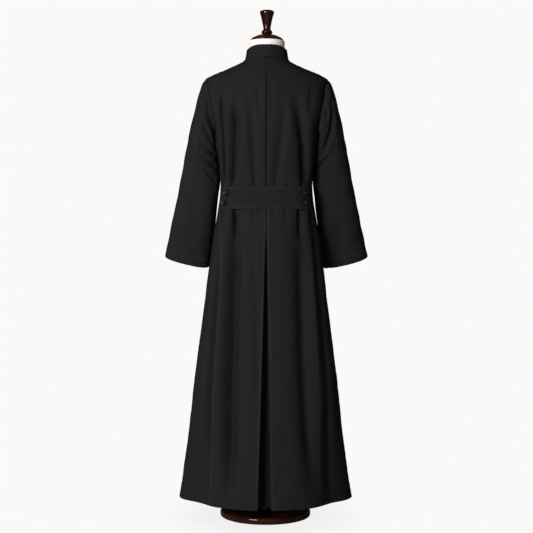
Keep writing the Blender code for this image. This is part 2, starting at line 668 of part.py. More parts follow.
def front_rows(side):
    """Rows of a front, from its side seam to past centre front."""
    rows = []
    for z in ROWS:
        front = BODY.at(z, "front")
        edge = side_front_edge(z)
        edge += gap_angle(z, edge)
        lap = LAP_LEFT if side > 0 else LAP_RIGHT
        run = math.degrees(LAP_RUN / front)
        end = 180.0 + math.degrees(lap / front)
        angles = spread(edge, 180.0 - run, FRONT_COLUMNS) + [180.0 - run / 2, 180.0, end]
        climb = run - math.degrees((LAP_RIGHT + LAP_CLEAR) / front)
        row = []
        for degrees in angles:
            rise = LAP_RISE * ease((degrees - 180.0 + run) / climb) if side > 0 else 0.0
            row.append(surface_pair(z, side * degrees, rise))
        rows.append(row)
    return rows


def build_fronts():
    wall("front_left", front_rows(1), CLOTH, "black_cloth")
    wall("front_right", front_rows(-1), CLOTH, "black_cloth")


# ---------------------------------------------------------------- sleeves
def armhole_point(turn):
    """The armhole's loop on the left side of the body: 0 is the shoulder point, 90 the back."""
    z = armhole_z(turn / (2 * math.pi) * ARMHOLE_POINTS)
    return body_point(z, armhole_angle(z, 1 if math.sin(turn) >= 0 else -1))


def sleeve_plane_point(station, turn, push=0.0):
    """A point of the plain sleeve section, pushed in by a fold."""
    outer = Vector((SLEEVES.at(station, "outer_x"), 0, SLEEVES.at(station, "outer_z")))
    inner = Vector((SLEEVES.at(station, "inner_x"), 0, SLEEVES.at(station, "inner_z")))
    middle = (outer + inner) / 2 + Vector((0, SLEEVES.at(station, "middle_y"), 0))
    across = (outer - inner) / 2
    half_width = across.length
    across.normalize()
    back = Vector((0, 1, -SLEEVES.at(station, "lean")))
    half_depth = SLEEVES.at(station, "half_depth")
    radius = (abs(math.cos(turn) / half_width) ** SLEEVE_POWER
              + abs(math.sin(turn) / half_depth) ** SLEEVE_POWER) ** (-1 / SLEEVE_POWER) - push
    return middle + across * radius * math.cos(turn) + back * radius * math.sin(turn)


def sleeve_fold(station, turn, folds):
    """How far the sleeve's folds push in at this place."""
    total = 0.0
    here = sleeve_plane_point(station, turn)
    for row in folds:
        fold = dict(zip(SLEEVE_FOLD_COLUMNS, row))
        span = fold["end"] - fold["start"]
        share = (station - fold["start"]) / span
        before = share + SLEEVE_FOLD_RUN_OUT
        after = 1 + SLEEVE_FOLD_RUN_OUT - share
        if before <= 0 or after <= 0:
            continue
        nearest = min(max(share, 0.0), 1.0)
        middle = math.radians(fold["start_angle"]
                              + (fold["end_angle"] - fold["start_angle"]) * nearest)
        there = sleeve_plane_point(fold["start"] + span * nearest, middle)
        off = (here - there).length
        fade = ease(before / SLEEVE_FOLD_FADE) * ease(after / SLEEVE_FOLD_FADE)
        total += fold["depth"] * fade * math.exp(-(off / fold["half_width"]) ** 2)
    return total


def sleeve_point(station, turn, folds):
    """The left sleeve's outer face; folds is its table of folds."""
    point = sleeve_plane_point(station, turn, sleeve_fold(station, turn, folds))
    hold = 1 - ease(station / ARMHOLE_EASE)
    if hold > 0:
        point += (armhole_point(turn) - sleeve_plane_point(0, turn)) * hold
        point.x += ARMHOLE_GAP * hold
    return point


def sleeve_normal(station, turn, folds):
    last = len(SLEEVE) - 1
    below = sleeve_point(min(station + SLEEVE_STEP_STATION, last), turn, folds)
    above = sleeve_point(max(station - SLEEVE_STEP_STATION, 0), turn, folds)
    onward = sleeve_point(station, turn + SLEEVE_STEP_TURN, folds)
    behind = sleeve_point(station, turn - SLEEVE_STEP_TURN, folds)
    return (below - above).cross(onward - behind).normalized()


def armhole_normal(turn):
    """The body's normal at the armhole's loop."""
    z = armhole_z(turn / (2 * math.pi) * ARMHOLE_POINTS)
    return body_normal(z, armhole_angle(z, 1 if math.sin(turn) >= 0 else -1))


def sleeve_rows(folds, mirrored):
    rows = []
    for station in SLEEVE_STEPS:
        row = []
        for corner in range(ARMHOLE_POINTS):
            turn = 2 * math.pi * corner / ARMHOLE_POINTS
            normal = sleeve_normal(station, turn, folds)
            if station == 0:      # over the shoulder its wall meets the panels' walls squarely
                share = ease(math.cos(turn) + SHOULDER_COVER)
                normal = normal.lerp(armhole_normal(turn), share).normalized()
            pair = (sleeve_point(station, turn, folds), normal)
            row.append(mirror_pair(pair) if mirrored else pair)
        rows.append(row)
    return rows


def build_sleeves():
    wall("sleeve_left", sleeve_rows(SLEEVE_FOLDS_LEFT, False), CLOTH, "black_cloth", closed=True)
    wall("sleeve_right", sleeve_rows(SLEEVE_FOLDS_RIGHT, True), CLOTH, "black_cloth", closed=True)


# ---------------------------------------------------------------- collar, belt and buttons
def build_collar():
    data = table(COLLAR_COLUMNS, COLLAR)
    rows = []
    for i, rise in enumerate(data["rise"]):
        half_width, back, front = (data[key][i] for key in ("half_width", "back", "front"))
        gap = math.degrees(COLLAR_OPENING / front)
        row = []
        for degrees in spread(-180.0 + gap, 180.0 - gap, COLLAR_SEGMENTS + 1):
            angle = math.radians(degrees)
            depth = back if math.cos(angle) > 0 else front
            radius = ((math.sin(angle) / half_width) ** 2 + (math.cos(angle) / depth) ** 2) ** -0.5
            drop = data["front_drop"][i] * ((1 - math.cos(angle)) / 2) ** NECK_DROP_POWER
            outwards = Vector((math.sin(angle) / half_width, math.cos(angle) / depth, 0))
            lap = COLLAR_LAP_LIFT * ease((abs(degrees) - COLLAR_LAP_ANGLE) / COLLAR_LAP_FADE)
            up = i / (len(COLLAR) - 1)
            lap *= 1 - up
            fall = COLLAR_SIDE_FALL * up * ease((abs(degrees) - COLLAR_FALL_START) / COLLAR_FALL_RUN)
            point = Vector((radius * math.sin(angle), radius * math.cos(angle),
                            NECK_TOP_Z + rise + lap - drop - fall))
            row.append((point, outwards.normalized()))
        rows.append(row)
    wall("collar", rows, STIFF_CLOTH, "black_cloth")


def belt_pair(z, degrees, lift):
    return surface_pair(z, degrees, BELT_LIFT + STIFF_CLOTH + lift, folded=False)


def build_belt():
    rows = []
    for z in spread(BELT_LOW_Z, BELT_HIGH_Z, BELT_ROWS):
        rows.append([belt_pair(z, degrees, 0.0)
                     for degrees in spread(BELT_ENDS[0], BELT_ENDS[1], BELT_SEGMENTS + 1)])
    wall("belt", rows, STIFF_CLOTH, "black_cloth")


def build_button(name, point, normal):
    """A round button with a rim, standing on a short shank off the cloth."""
    profile = [(BUTTON_RADIUS * across, BUTTON_THICKNESS * up) for across, up in BUTTON_PROFILE]
    button = turned(name, profile, BUTTON_SEGMENTS, "dark_button")
    turn = normal.to_track_quat("Z", "Y").to_matrix().to_4x4()
    button.matrix_world = Matrix.Translation(point + normal * BUTTON_SHANK) @ turn


def build_belt_buttons():
    for side_name, height_name, degrees, z in BELT_BUTTONS:
        point, normal = belt_pair(z, degrees, 0.0)
        build_button("belt_button_%s_%s" % (side_name, height_name), point, normal)


def build_front_buttons():
    for k in range(FRONT_BUTTONS):
        z = FRONT_BUTTON_TOP_Z - FRONT_BUTTON_PITCH * k
        point, normal = surface_pair(z, 180.0, LAP_RISE)
        build_button("front_button_%02d" % (k + 1), point, normal)


# ---------------------------------------------------------------- dress form
def build_torso():
    data = table(TORSO_COLUMNS, TORSO)
    rings = []
    for i, z in enumerate(data["z"]):
        ring = []
        for k in range(TORSO_SEGMENTS):
            turn = 2 * math.pi * k / TORSO_SEGMENTS
            depth = data["back"][i] if math.sin(turn) > 0 else data["front"][i]
            ring.append(Vector((data["half_width"][i] * math.cos(turn), depth * math.sin(turn), z)))
        rings.append(ring)
    loft("form_torso", rings, "ivory_cover")


def build_stand():
    turned("form_cap", CAP_PROFILE, TURNED_SEGMENTS, "dark_wood", (0, 0, CAP_Z))
    finial_z = CAP_Z + CAP_PROFILE[-1][1] + SEAM_GAP
    turned("form_finial", FINIAL_PROFILE, TURNED_SEGMENTS, "dark_wood", (0, 0, finial_z))
    pole_low = BASE_PROFILE[-1][1] + SEAM_GAP
    pole_high = TORSO[0][0] - SEAM_GAP
    turned("form_pole", ((POLE_RADIUS, pole_low), (POLE_RADIUS, pole_high)), TURNED_SEGMENTS,
           "pole_steel")
    turned("form_base", BASE_PROFILE, BASE_SEGMENTS, "dark_wood")


def main():
    for obj in list(bpy.data.objects):
        bpy.data.objects.remove(obj)
    build_torso()
    build_stand()
    build_backs()
    build_underlay()
    build_sides()
    build_fronts()
    build_sleeves()
    build_collar()
    build_belt()
    build_belt_buttons()
    build_front_buttons()


main()
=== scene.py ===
import math

import bpy
import numpy as np
from mathutils import Matrix, Vector
from mathutils.kdtree import KDTree


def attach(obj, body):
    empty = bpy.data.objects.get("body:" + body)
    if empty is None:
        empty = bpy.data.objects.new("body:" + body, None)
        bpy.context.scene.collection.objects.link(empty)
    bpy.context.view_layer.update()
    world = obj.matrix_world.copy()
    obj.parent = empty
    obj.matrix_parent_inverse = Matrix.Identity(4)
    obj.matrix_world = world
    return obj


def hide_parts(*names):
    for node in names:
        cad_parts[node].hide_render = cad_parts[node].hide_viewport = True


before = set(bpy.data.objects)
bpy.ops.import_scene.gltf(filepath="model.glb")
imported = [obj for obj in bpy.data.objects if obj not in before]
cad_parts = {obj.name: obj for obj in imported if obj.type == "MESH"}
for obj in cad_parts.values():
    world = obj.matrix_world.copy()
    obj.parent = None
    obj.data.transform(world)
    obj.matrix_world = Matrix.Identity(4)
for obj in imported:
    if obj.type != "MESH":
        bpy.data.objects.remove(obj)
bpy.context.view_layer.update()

# A black cassock on a dress form, seen from behind. The origin is the middle of the foot, the
# front faces -Y, and left is the wearer's left, which is +X. Everything is in metres.

garment = {
    "wall": 0.002,
    "stiffWall": 0.003,  # collar and half belt
    "seamGap": 0.0004,
    "hemZ": 0.0574,
    "waistZ": 0.978,
    "underarmZ": 1.200,
    "shoulderZ": 1.388,
    "neckZ": 1.4538,
    "neckDropPower": 4,  # how late, going round, the neck seam sinks to the front
    "shoulderSlope": math.radians(24),
    "shoulderReach": 0.035,  # the wall faces up the slope this near to the shoulder point
    "shoulderHold": 1.2,
    "armholeCorners": 120,
    "seamCorner": 45,  # where the side seams end, counted from the shoulder
    "armholeBack": 0.056,
    "armholeFront": 0.060,
    "stepZ": 0.002,  # how far apart the points lie that give a normal
    "stepAngle": 0.6,
}


def armholeZ(turn):
    top, low = garment["shoulderZ"], garment["underarmZ"]
    return (top + low) / 2 + (top - low) / 2 * np.cos(turn)


seamTopZ = armholeZ(2 * math.pi * garment["seamCorner"] / garment["armholeCorners"])

bodyForm = {  # half width, reach of back and front, squareness, and how much lower the front lies
    "columns": ("z", "half", "back", "front", "power", "drop"),
    "rows": (
        (0.0574, 0.2800, 0.200, 0.195, 2.05, 0.0),
        (0.2600, 0.2507, 0.176, 0.176, 2.05, 0.0),
        (0.4700, 0.2237, 0.152, 0.156, 2.10, 0.0),
        (0.6700, 0.1980, 0.134, 0.140, 2.25, 0.0),
        (0.7870, 0.1834, 0.122, 0.130, 2.35, 0.0),
        (0.9000, 0.1665, 0.112, 0.119, 2.50, 0.0),
        (0.9780, 0.1540, 0.101, 0.109, 2.80, 0.0),
        (1.0100, 0.1490, 0.097, 0.106, 2.90, 0.0),
        (1.0500, 0.1460, 0.096, 0.107, 2.90, 0.0),
        (1.1000, 0.1490, 0.100, 0.112, 2.80, 0.0),
        (1.1500, 0.1540, 0.105, 0.117, 2.70, 0.0),
        (1.2000, 0.1600, 0.109, 0.120, 2.70, 0.0),
        (seamTopZ, 0.1635, 0.111, 0.121, 2.70, 0.0),
        (1.2700, 0.1780, 0.112, 0.120, 2.60, 0.0),
        (1.3200, 0.1910, 0.109, 0.114, 2.40, 0.0),
        (1.3600, 0.1960, 0.102, 0.104, 2.10, 0.0),
        (1.3880, 0.1965, 0.094, 0.094, 1.80, 0.0),
        (1.4010, 0.1772, 0.089, 0.088, 1.75, 0.003),
        (1.4138, 0.1490, 0.084, 0.081, 1.80, 0.008),
        (1.4264, 0.1180, 0.078, 0.074, 1.90, 0.015),
        (1.4390, 0.0895, 0.071, 0.067, 2.00, 0.025),
        (1.4470, 0.0765, 0.067, 0.062, 2.00, 0.032),
        (1.4538, 0.0695, 0.064, 0.060, 2.00, 0.037),
    ),
}

seamForm = {  # where the side seams run, in degrees from centre back
    "columns": ("z", "back", "front"),
    "rows": (
        (0.0574, 50.5, 106.0),
        (0.3000, 54.0, 106.0),
        (0.6000, 57.2, 106.5),
        (0.7700, 59.5, 107.5),
        (0.9000, 64.0, 109.0),
        (1.0500, 71.0, 110.5),
        (1.1500, 75.0, 107.5),
        (seamTopZ, 76.9, 104.0),
    ),
}

# Long soft folds: troughs have a positive depth. Angles are in degrees from centre back.
foldColumns = ("topAngle", "topZ", "lowAngle", "lowZ", "leftHalf", "rightHalf", "depth", "fade", "bow")
folds = (
    (84.0, 1.236, 86.0, 1.160, 0.0280, 0.0280, -0.0042, 0.03, 0.0),  # fuller under the arms
    (-84.0, 1.240, -86.0, 1.160, 0.0280, 0.0280, -0.0042, 0.03, 0.0),
    (-86.0, 0.905, -88.0, 0.850, 0.0300, 0.0300, -0.0035, 0.03, 0.0),
    # back bodice, between shoulder blades and belt
    (59.2, 1.326, 68.0, 1.060, 0.0060, 0.0065, 0.0090, 0.05, -1.2),
    (43.4, 1.290, 58.6, 1.044, 0.0140, 0.0150, 0.0235, 0.05, -2.0),
    (23.7, 1.289, 19.2, 1.044, 0.0140, 0.0110, 0.0100, 0.06, -0.15),
    (13.5, 1.358, 10.4, 1.276, 0.0100, 0.0080, 0.0040, 0.03, 0.5),
    (-7.3, 1.358, -8.3, 1.276, 0.0075, 0.0075, 0.0035, 0.03, 0.0),
    (-27.3, 1.289, -18.3, 1.044, 0.0150, 0.0120, 0.0085, 0.06, 0.2),
    (-43.4, 1.302, -62.6, 1.044, 0.0190, 0.0170, 0.0175, 0.06, -2.3),
    (-63.5, 1.362, -57.4, 1.273, 0.0085, 0.0090, 0.0045, 0.03, 2.0),
    # back skirt
    (49.6, 1.030, 47.2, 0.895, 0.0085, 0.0085, 0.0120, 0.04, 0.0),
    (46.6, 0.890, 34.0, 0.120, 0.0240, 0.0230, 0.0430, 0.14, 0.9),
    (21.3, 0.893, 11.2, 0.300, 0.0160, 0.0120, 0.0045, 0.12, -5.35),
    (65.6, 0.812, 60.5, 0.228, 0.0150, 0.0150, 0.0180, 0.10, 0.0),
    (-51.2, 1.030, -49.4, 0.895, 0.0085, 0.0085, 0.0090, 0.04, 0.0),
    (-50.0, 0.880, -43.4, 0.190, 0.0260, 0.0240, 0.0200, 0.15, 1.8),
    (-69.3, 0.969, -64.0, 0.124, 0.0180, 0.0150, 0.0090, 0.12, -1.0),
    # sides, and the slack between side and back near the hem
    (64.0, 0.270, 64.0, -0.200, 0.0850, 0.0850, 0.0350, 0.20, 0.0),
    (-64.0, 0.270, -64.0, -0.200, 0.0850, 0.0850, 0.0350, 0.20, 0.0),
    (103.0, 0.940, 99.0, 0.200, 0.0240, 0.0240, 0.0080, 0.20, 1.5),
    (-104.0, 0.940, -99.0, 0.240, 0.0240, 0.0240, 0.0080, 0.20, -1.5),
    # front bodice and skirt
    (128.0, 1.300, 124.0, 1.044, 0.0120, 0.0120, 0.0080, 0.09, 1.0),
    (147.0, 1.290, 152.0, 1.044, 0.0120, 0.0120, 0.0050, 0.10, 0.0),
    (-126.0, 1.310, -122.0, 1.044, 0.0120, 0.0120, 0.0080, 0.09, -1.0),
    (-149.0, 1.280, -154.0, 1.044, 0.0120, 0.0120, 0.0050, 0.10, 0.0),
    (125.0, 0.978, 128.0, 0.860, 0.0110, 0.0110, 0.0090, 0.06, 0.0),
    (127.0, 0.880, 131.0, 0.180, 0.0170, 0.0220, 0.0140, 0.16, 1.5),
    (148.0, 0.940, 149.0, 0.300, 0.0200, 0.0200, 0.0080, 0.18, 0.0),
    (-127.0, 0.978, -128.0, 0.860, 0.0110, 0.0110, 0.0090, 0.06, 0.0),
    (-128.5, 0.880, -126.5, 0.160, 0.0210, 0.0170, 0.0140, 0.16, -1.5),
    (-151.0, 0.940, -150.0, 0.340, 0.0200, 0.0200, 0.0080, 0.18, 0.0),
)

# Short gathers where the belt holds the cloth in: angle, reach, half width, depth; reach is
# upwards when positive.
gathers = (
    (72.0, 0.040, 0.0055, 0.0030), (55.8, 0.055, 0.0052, 0.0050), (38.0, 0.030, 0.0045, 0.0012),
    (20.8, 0.045, 0.0045, 0.0036), (7.0, 0.026, 0.0040, 0.0010), (-17.0, 0.045, 0.0045, 0.0036),
    (-36.2, 0.045, 0.0045, 0.0034), (-56.4, 0.060, 0.0055, 0.0046), (-70.5, 0.045, 0.0055, 0.0034),
    (64.0, -0.090, 0.0055, 0.0034), (48.6, -0.100, 0.0056, 0.0062), (43.2, -0.040, 0.0042, 0.0036),
    (33.0, -0.060, 0.0050, 0.0018), (20.6, -0.080, 0.0050, 0.0022), (12.0, -0.075, 0.0050, 0.0020),
    (-13.0, -0.060, 0.0045, 0.0024), (-31.0, -0.095, 0.0050, 0.0038), (-50.3, -0.100, 0.0058, 0.0068),
    (-55.8, -0.045, 0.0045, 0.0038), (-67.0, -0.110, 0.0060, 0.0036),
    (122.0, 0.045, 0.0055, 0.0028), (139.0, 0.040, 0.0055, 0.0024), (160.0, 0.030, 0.0050, 0.0016),
    (-118.0, 0.040, 0.0055, 0.0028), (-140.0, 0.045, 0.0055, 0.0024), (-162.0, 0.030, 0.0050, 0.0016),
    (118.0, -0.075, 0.0060, 0.0032), (140.0, -0.080, 0.0060, 0.0028), (-119.0, -0.080, 0.0060, 0.0032),
    (-141.0, -0.070, 0.0060, 0.0028), (-164.0, -0.040, 0.0050, 0.0018), (95.0, -0.080, 0.0060, 0.0026),
    (-98.0, -0.080, 0.0060, 0.0026), (88.0, 0.040, 0.0055, 0.0022), (-90.0, 0.040, 0.0055, 0.0022),
)

belt = {
    "lowZ": 0.978,
    "highZ": 1.046,
    "lift": 0.0014,
    "ends": (67.5, -64.5),
    "press": 0.30,  # share of a fold left under it
    "pressReach": 0.034,
    "pressFade": 0.022,
    "rows": 34,
    "columns": 150,
    "edgeStitch": 0.0045,
    "stitchDent": 0.00045,
    "stitchHalf": 0.0013,
    "stitchTone": 0.4,
    "stitchToneHalf": 0.003,
    "edgeHalf": 0.0026,
    "edgeRise": 0.0005,
    "edgeRun": 0.012,
    "boxStitch": 16.2,  # degrees from the end to the line of stitches across it
    "boxTones": (0.35, 0.9),
    "boxHalf": 0.0017,
    "endRadius": 0.145,
    "ring": 0.0096,  # painted shadow ring round a button
    "ringTone": 0.95,
    "ringHalf": 0.0022,
    "buttons": (
        ("left", "upper", 60.0, 1.0275),
        ("left", "lower", 61.6, 0.9950),
        ("right", "upper", -55.3, 1.0275),
        ("right", "lower", -55.3, 0.9960),
    ),
}

pleatForm = {  # half the mouth, depth and half width of the underlay, and shift off the centre
    "columns": ("z", "mouth", "depth", "underlay", "shift"),
    "rows": (
        (0.0574, 0.0197, 0.0480, 0.0450, 0.0027),
        (0.3000, 0.0142, 0.0370, 0.0430, 0.0018),
        (0.6000, 0.0075, 0.0255, 0.0400, 0.0008),
        (0.8500, 0.0020, 0.0135, 0.0370, 0.0002),
        (0.9250, 0.00015, 0.0095, 0.0355, 0.0),
        (0.9780, 0.00015, 0.0080, 0.0350, 0.0),
    ),
    "radius": 0.0035,
    "lap": 0.003,
    "under": 0.0006,
    "fade": 0.012,  # creases fade out this near to the pressed edge
    "pressHalf": 0.004,
    "columnCount": 31,
    "dent": 0.0012,
    "dentSize": 0.05,
    "shade": 0.28,  # painted shade on the underlay deep inside the pleat
    "shadeMore": 0.35,
}

lap = {"left": 0.018, "right": 0.020, "rise": 0.0033, "clear": 0.003, "run": 0.045}

sewing = {
    "groove": 0.0011,
    "grooveHalf": 0.0021,
    "centreGroove": 0.0014,  # the centre back seam is deeper still
    "centreHalf": 0.0034,
    "pucker": 0.00035,
    "puckerPitch": 0.019,
    "puckerReach": 0.011,
    "puckerStart": 0.002,
    "ridge": 0.0012,  # the skirt's side seams stand up a little
    "ridgeHalf": 0.0055,
    "ridgeTopZ": 0.93,
    "hemDeep": 0.0465,
    "hemLayer": 0.0004,
    "hemStep": 0.0015,
    "hemWave": 0.0005,
    "hemWaveReach": 0.012,
    "beltCalm": 0.05,  # the cloth lies calm this near to the belt
    "neckCalm": 0.03,
    "stitchGroove": 0.0004,
    "stitchHalf": 0.0011,
    "stitchPitch": 0.0034,
    "stitchLong": 0.0025,
    "stitchWide": 0.00042,
    "rimPress": 0.5,
    # painted shade in fold hollows and sleeve creases:
    "hollowPaintedShade": 1.10,  # painted shade in the hollows of the folds, full at the wearer's left side, none at the right; 0 is off
    "hollowDeep": 0.0038,
    "creaseReach": 0.005,
    "creaseShift": 0.004,
    "creasePaintedShade": 0.16,
    "creaseDeep": 0.0045,
}

# Painted shade in seams and painted highlights beside them, along the hem and on the skirt's side seams,
# carried in the cloth's colour: half widths and places in metres, tones from 0 to 1
seamShade = {
    "skirtHalf": 0.0040,
    "hemTone": 0.3,
    "hemHalf": 0.004,
    "besideTone": 0.4,  # painted highlight beside the centre back seam, on the wearer's right of it
    "besidePlace": 0.0062,
    "besideHalf": 0.0026,
    "besideTopZ": 1.36,
    "besideFade": 0.06,
    "seamHalf": 0.0016,
    "skirtReach": 0.01,
    "centreTone": 0.6,
    "centreTopZ": 1.40,
    "centreFade": 0.04,
    "yokeZ": 1.395,
    "yokeFade": 0.03,
    "yokeTone": 0.3,
    "neckTone": 0.6,
    "neckHalf": 0.005,
    "neckZ": 1.385,
    "neckFade": 0.02,
    "beltFade": 0.01,
    "armholeHalf": 0.0024,
    "armholeLight": 0.4,
    "armholePlace": 0.0050,
    "armholeLightHalf": 0.0020,
    "cuffTone": 0.5,
    "cuffHalf": 0.004,
}

hemLineZ = garment["hemZ"] + sewing["hemDeep"]

crumple = {"wide": 0.070, "wideDepth": 0.0009, "fine": 0.024, "fineDepth": 0.00028, "seed": 11}


def ease(t):
    t = np.clip(t, 0.0, 1.0)
    return t * t * (3 - 2 * t)


def bell(off, half):
    return np.exp(-(off / half) ** 2)


def runLength(points):  # from the first point to each of them
    return np.concatenate([[0], np.cumsum(np.linalg.norm(np.diff(points, axis=0), axis=1))])


def curveBetween(t, span, ends, slopes):
    return ((1 + 2 * t) * (1 - t) ** 2 * ends[0] + t * (1 - t) ** 2 * span * slopes[0]
            + t * t * (3 - 2 * t) * ends[1] + t * t * (t - 1) * span * slopes[1])


def smoothSlopes(xs, ys):
    steps = np.diff(ys) / np.diff(xs)
    slopes = np.zeros(len(xs))
    slopes[0], slopes[-1] = steps[0], steps[-1]
    for i in range(1, len(xs) - 1):
        if steps[i - 1] * steps[i] > 0:
            before, after = xs[i] - xs[i - 1], xs[i + 1] - xs[i]
            w1, w2 = 2 * after + before, after + 2 * before
            slopes[i] = (w1 + w2) / (w1 / steps[i - 1] + w2 / steps[i])
    return slopes


class Curve:  # smooth curves through a table's columns, read anywhere along its first one
    def __init__(self, form, along=None):
        rows = np.array(form["rows"], float)
        self.xs = rows[:, 0] if along is None else np.array(along, float)
        self.ys = {name: rows[:, i] for i, name in enumerate(form["columns"])}
        self.slopes = {name: smoothSlopes(self.xs, ys) for name, ys in self.ys.items()}

    def at(self, name, x):
        x = np.clip(x, self.xs[0], self.xs[-1])
        i = np.clip(np.searchsorted(self.xs, x, side="right") - 1, 0, len(self.xs) - 2)
        span = self.xs[i + 1] - self.xs[i]
        t = (x - self.xs[i]) / span
        ys, slopes = self.ys[name], self.slopes[name]
        return curveBetween(t, span, (ys[i], ys[i + 1]), (slopes[i], slopes[i + 1]))


bodyCurve = Curve(bodyForm)
seamCurve = Curve(seamForm)
pleatCurve = Curve(pleatForm)


def unit(vectors):
    return vectors / np.maximum(np.linalg.norm(vectors, axis=-1, keepdims=True), 1e-12)


def stack(x, y, z):
    return np.stack(np.broadcast_arrays(x, y, z), axis=-1).astype(float)


def crossSection(z, angle):
    depth = np.where(np.cos(angle) > 0, bodyCurve.at("back", z), bodyCurve.at("front", z))
    return bodyCurve.at("half", z), bodyCurve.at("power", z), depth


def bodyRadius(z, angle):
    half, power, depth = crossSection(z, angle)
    return (np.abs(np.sin(angle) / half) ** power
            + np.abs(np.cos(angle) / depth) ** power) ** (-1 / power)


def outward(z, angle):
    half, power, depth = crossSection(z, angle)
    x = np.sign(np.sin(angle)) * np.abs(np.sin(angle) / half) ** (power - 1) / half
    y = np.sign(np.cos(angle)) * np.abs(np.cos(angle) / depth) ** (power - 1) / depth
    return x / np.hypot(x, y), y / np.hypot(x, y)


def turnBetween(angle, middle):
    return (angle - np.radians(middle) + math.pi) % (2 * math.pi) - math.pi


def beyondBelt(z):  # how far above or below the cloth that the belt holds
    return np.abs(z - (belt["lowZ"] + belt["highZ"]) / 2) - belt["pressReach"]


def foldPush(z, angle, radius):
    total = np.zeros(np.broadcast(z, angle).shape)
    for row in folds:
        fold = dict(zip(foldColumns, row))
        along = np.clip((fold["topZ"] - z) / (fold["topZ"] - fold["lowZ"]), 0.0, 1.0)
        middle = fold["topAngle"] + (fold["lowAngle"] - fold["topAngle"]) * along
        middle = middle + fold["bow"] * 4 * along * (1 - along)
        off = radius * turnBetween(angle, middle)
        strength = (ease((fold["topZ"] + fold["fade"] - z) / (2 * fold["fade"]))
                    * ease((z - fold["lowZ"] + fold["fade"]) / (2 * fold["fade"])))
        half = np.where(off > 0, fold["leftHalf"], fold["rightHalf"])
        total = total + fold["depth"] * strength * bell(off, half)
    near = 1 - ease(beyondBelt(z) / belt["pressFade"])
    return total * (1 - (1 - belt["press"]) * near)


gatherForm = {"start": 0.3, "spread": 0.8}


def gatherPush(z, angle, radius):
    total = np.zeros(np.broadcast(z, angle).shape)
    for middle, reach, half, depth in gathers:
        edge = belt["highZ"] if reach > 0 else belt["lowZ"]
        away = (z - edge) / reach  # 0 at the belt's edge, 1 where the gather ends
        off = radius * turnBetween(angle, middle)
        strength = ease((away + gatherForm["start"]) / gatherForm["start"]) * ease(1 - away)
        wide = half * (1 + gatherForm["spread"] * np.clip(away, 0, 1))
        total = total + depth * strength * bell(off, wide)
    return total


def bodyPoints(z, degrees, folded=True):
    z, degrees = np.broadcast_arrays(np.asarray(z, float), np.asarray(degrees, float))
    angle = np.radians(degrees)
    radius = bodyRadius(z, angle)
    push = foldPush(z, angle, radius) + gatherPush(z, angle, radius) if folded else 0.0
    outX, outY = outward(z, angle)
    drop = bodyCurve.at("drop", z) * ((1 - np.cos(angle)) / 2) ** garment["neckDropPower"]
    return stack(radius * np.sin(angle) - push * outX, radius * np.cos(angle) - push * outY, z - drop)


def bodyNormals(z, degrees, folded=True):
    z, degrees = np.broadcast_arrays(np.asarray(z, float), np.asarray(degrees, float))
    dz, da = garment["stepZ"], garment["stepAngle"]
    up = (bodyPoints(np.minimum(z + dz, garment["neckZ"]), degrees, folded)
          - bodyPoints(np.maximum(z - dz, garment["hemZ"]), degrees, folded))
    around = bodyPoints(z, degrees + da, folded) - bodyPoints(z, degrees - da, folded)
    normals = unit(np.cross(up, around))
    side = np.where(np.sin(np.radians(degrees)) < 0, -1.0, 1.0)
    tip = stack(side * bodyCurve.at("half", garment["shoulderZ"]), 0.0, garment["shoulderZ"])
    away = np.linalg.norm(bodyPoints(z, degrees, folded) - tip, axis=-1) / garment["shoulderReach"]
    near = ease(garment["shoulderHold"] - away)[..., None]
    slope = garment["shoulderSlope"]
    tipNormals = stack(side * math.sin(slope), 0.0, math.cos(slope))
    return unit(normals * (1 - near) + tipNormals * near)


def angleAtY(z, y):
    depth = np.where(y > 0, bodyCurve.at("back", z), bodyCurve.at("front", z))
    power = bodyCurve.at("power", z)
    x = bodyCurve.at("half", z) * (1 - np.minimum(np.abs(y) / depth, 1) ** power) ** (1 / power)
    return np.degrees(np.arctan2(x, y))


def armholeAngle(z, side):  # side is 1 for the armhole's back edge, -1 for its front edge
    top, low = garment["shoulderZ"], garment["underarmZ"]
    share = (z - (top + low) / 2) / ((top - low) / 2)
    reach = np.where(np.asarray(side) > 0, garment["armholeBack"], garment["armholeFront"])
    y = sleeveForm["rows"][0][4] + side * reach * np.sqrt(np.maximum(0.0, 1 - share * share))
    return angleAtY(z, y)


def gapAngle(z, degrees):
    return np.degrees(garment["seamGap"] / 2 / bodyRadius(z, np.radians(degrees)))


def sideEdge(z, name, side):  # side seam, then armhole, then shoulder seam
    edge = np.where(z < garment["shoulderZ"], armholeAngle(z, side), 90.0)
    return np.where(z <= seamTopZ, seamCurve.at(name, z), edge)


sleeveForm = {  # outer and inner point from behind, middle towards the front, half depth, lean
    "columns": ("outerX", "outerZ", "innerX", "innerZ", "middleY", "half", "lean"),
    "rows": (
        (0.1965, 1.3880, 0.1600, 1.2000, -0.002, 0.0580, 0.00),
        (0.2050, 1.3755, 0.1622, 1.1965, -0.002, 0.0585, 0.00),
        (0.2178, 1.3365, 0.1618, 1.1910, -0.004, 0.0595, 0.01),
        (0.2308, 1.2865, 0.1592, 1.1830, -0.008, 0.0610, 0.03),
        (0.2447, 1.2290, 0.1569, 1.1700, -0.016, 0.0620, 0.06),
        (0.2596, 1.1590, 0.1530, 1.1380, -0.030, 0.0610, 0.12),
        (0.2718, 1.0990, 0.1489, 1.0800, -0.041, 0.0590, 0.18),
        (0.2863, 1.0280, 0.1563, 1.0050, -0.051, 0.0560, 0.23),
        (0.3016, 0.9560, 0.1664, 0.9280, -0.063, 0.0530, 0.26),
        (0.3157, 0.8930, 0.1752, 0.8620, -0.077, 0.0505, 0.27),
        (0.3300, 0.8300, 0.1850, 0.7960, -0.090, 0.0485, 0.27),
    ),
    "power": 2.5,
    "armholeEase": 2.4,
    "armholeGap": 0.0009,
    "rings": 176,
    "hemStation": 9.57,
    "stationLong": 0.064,
    "stepStation": 0.03,
    "stepTurn": 0.02,
}

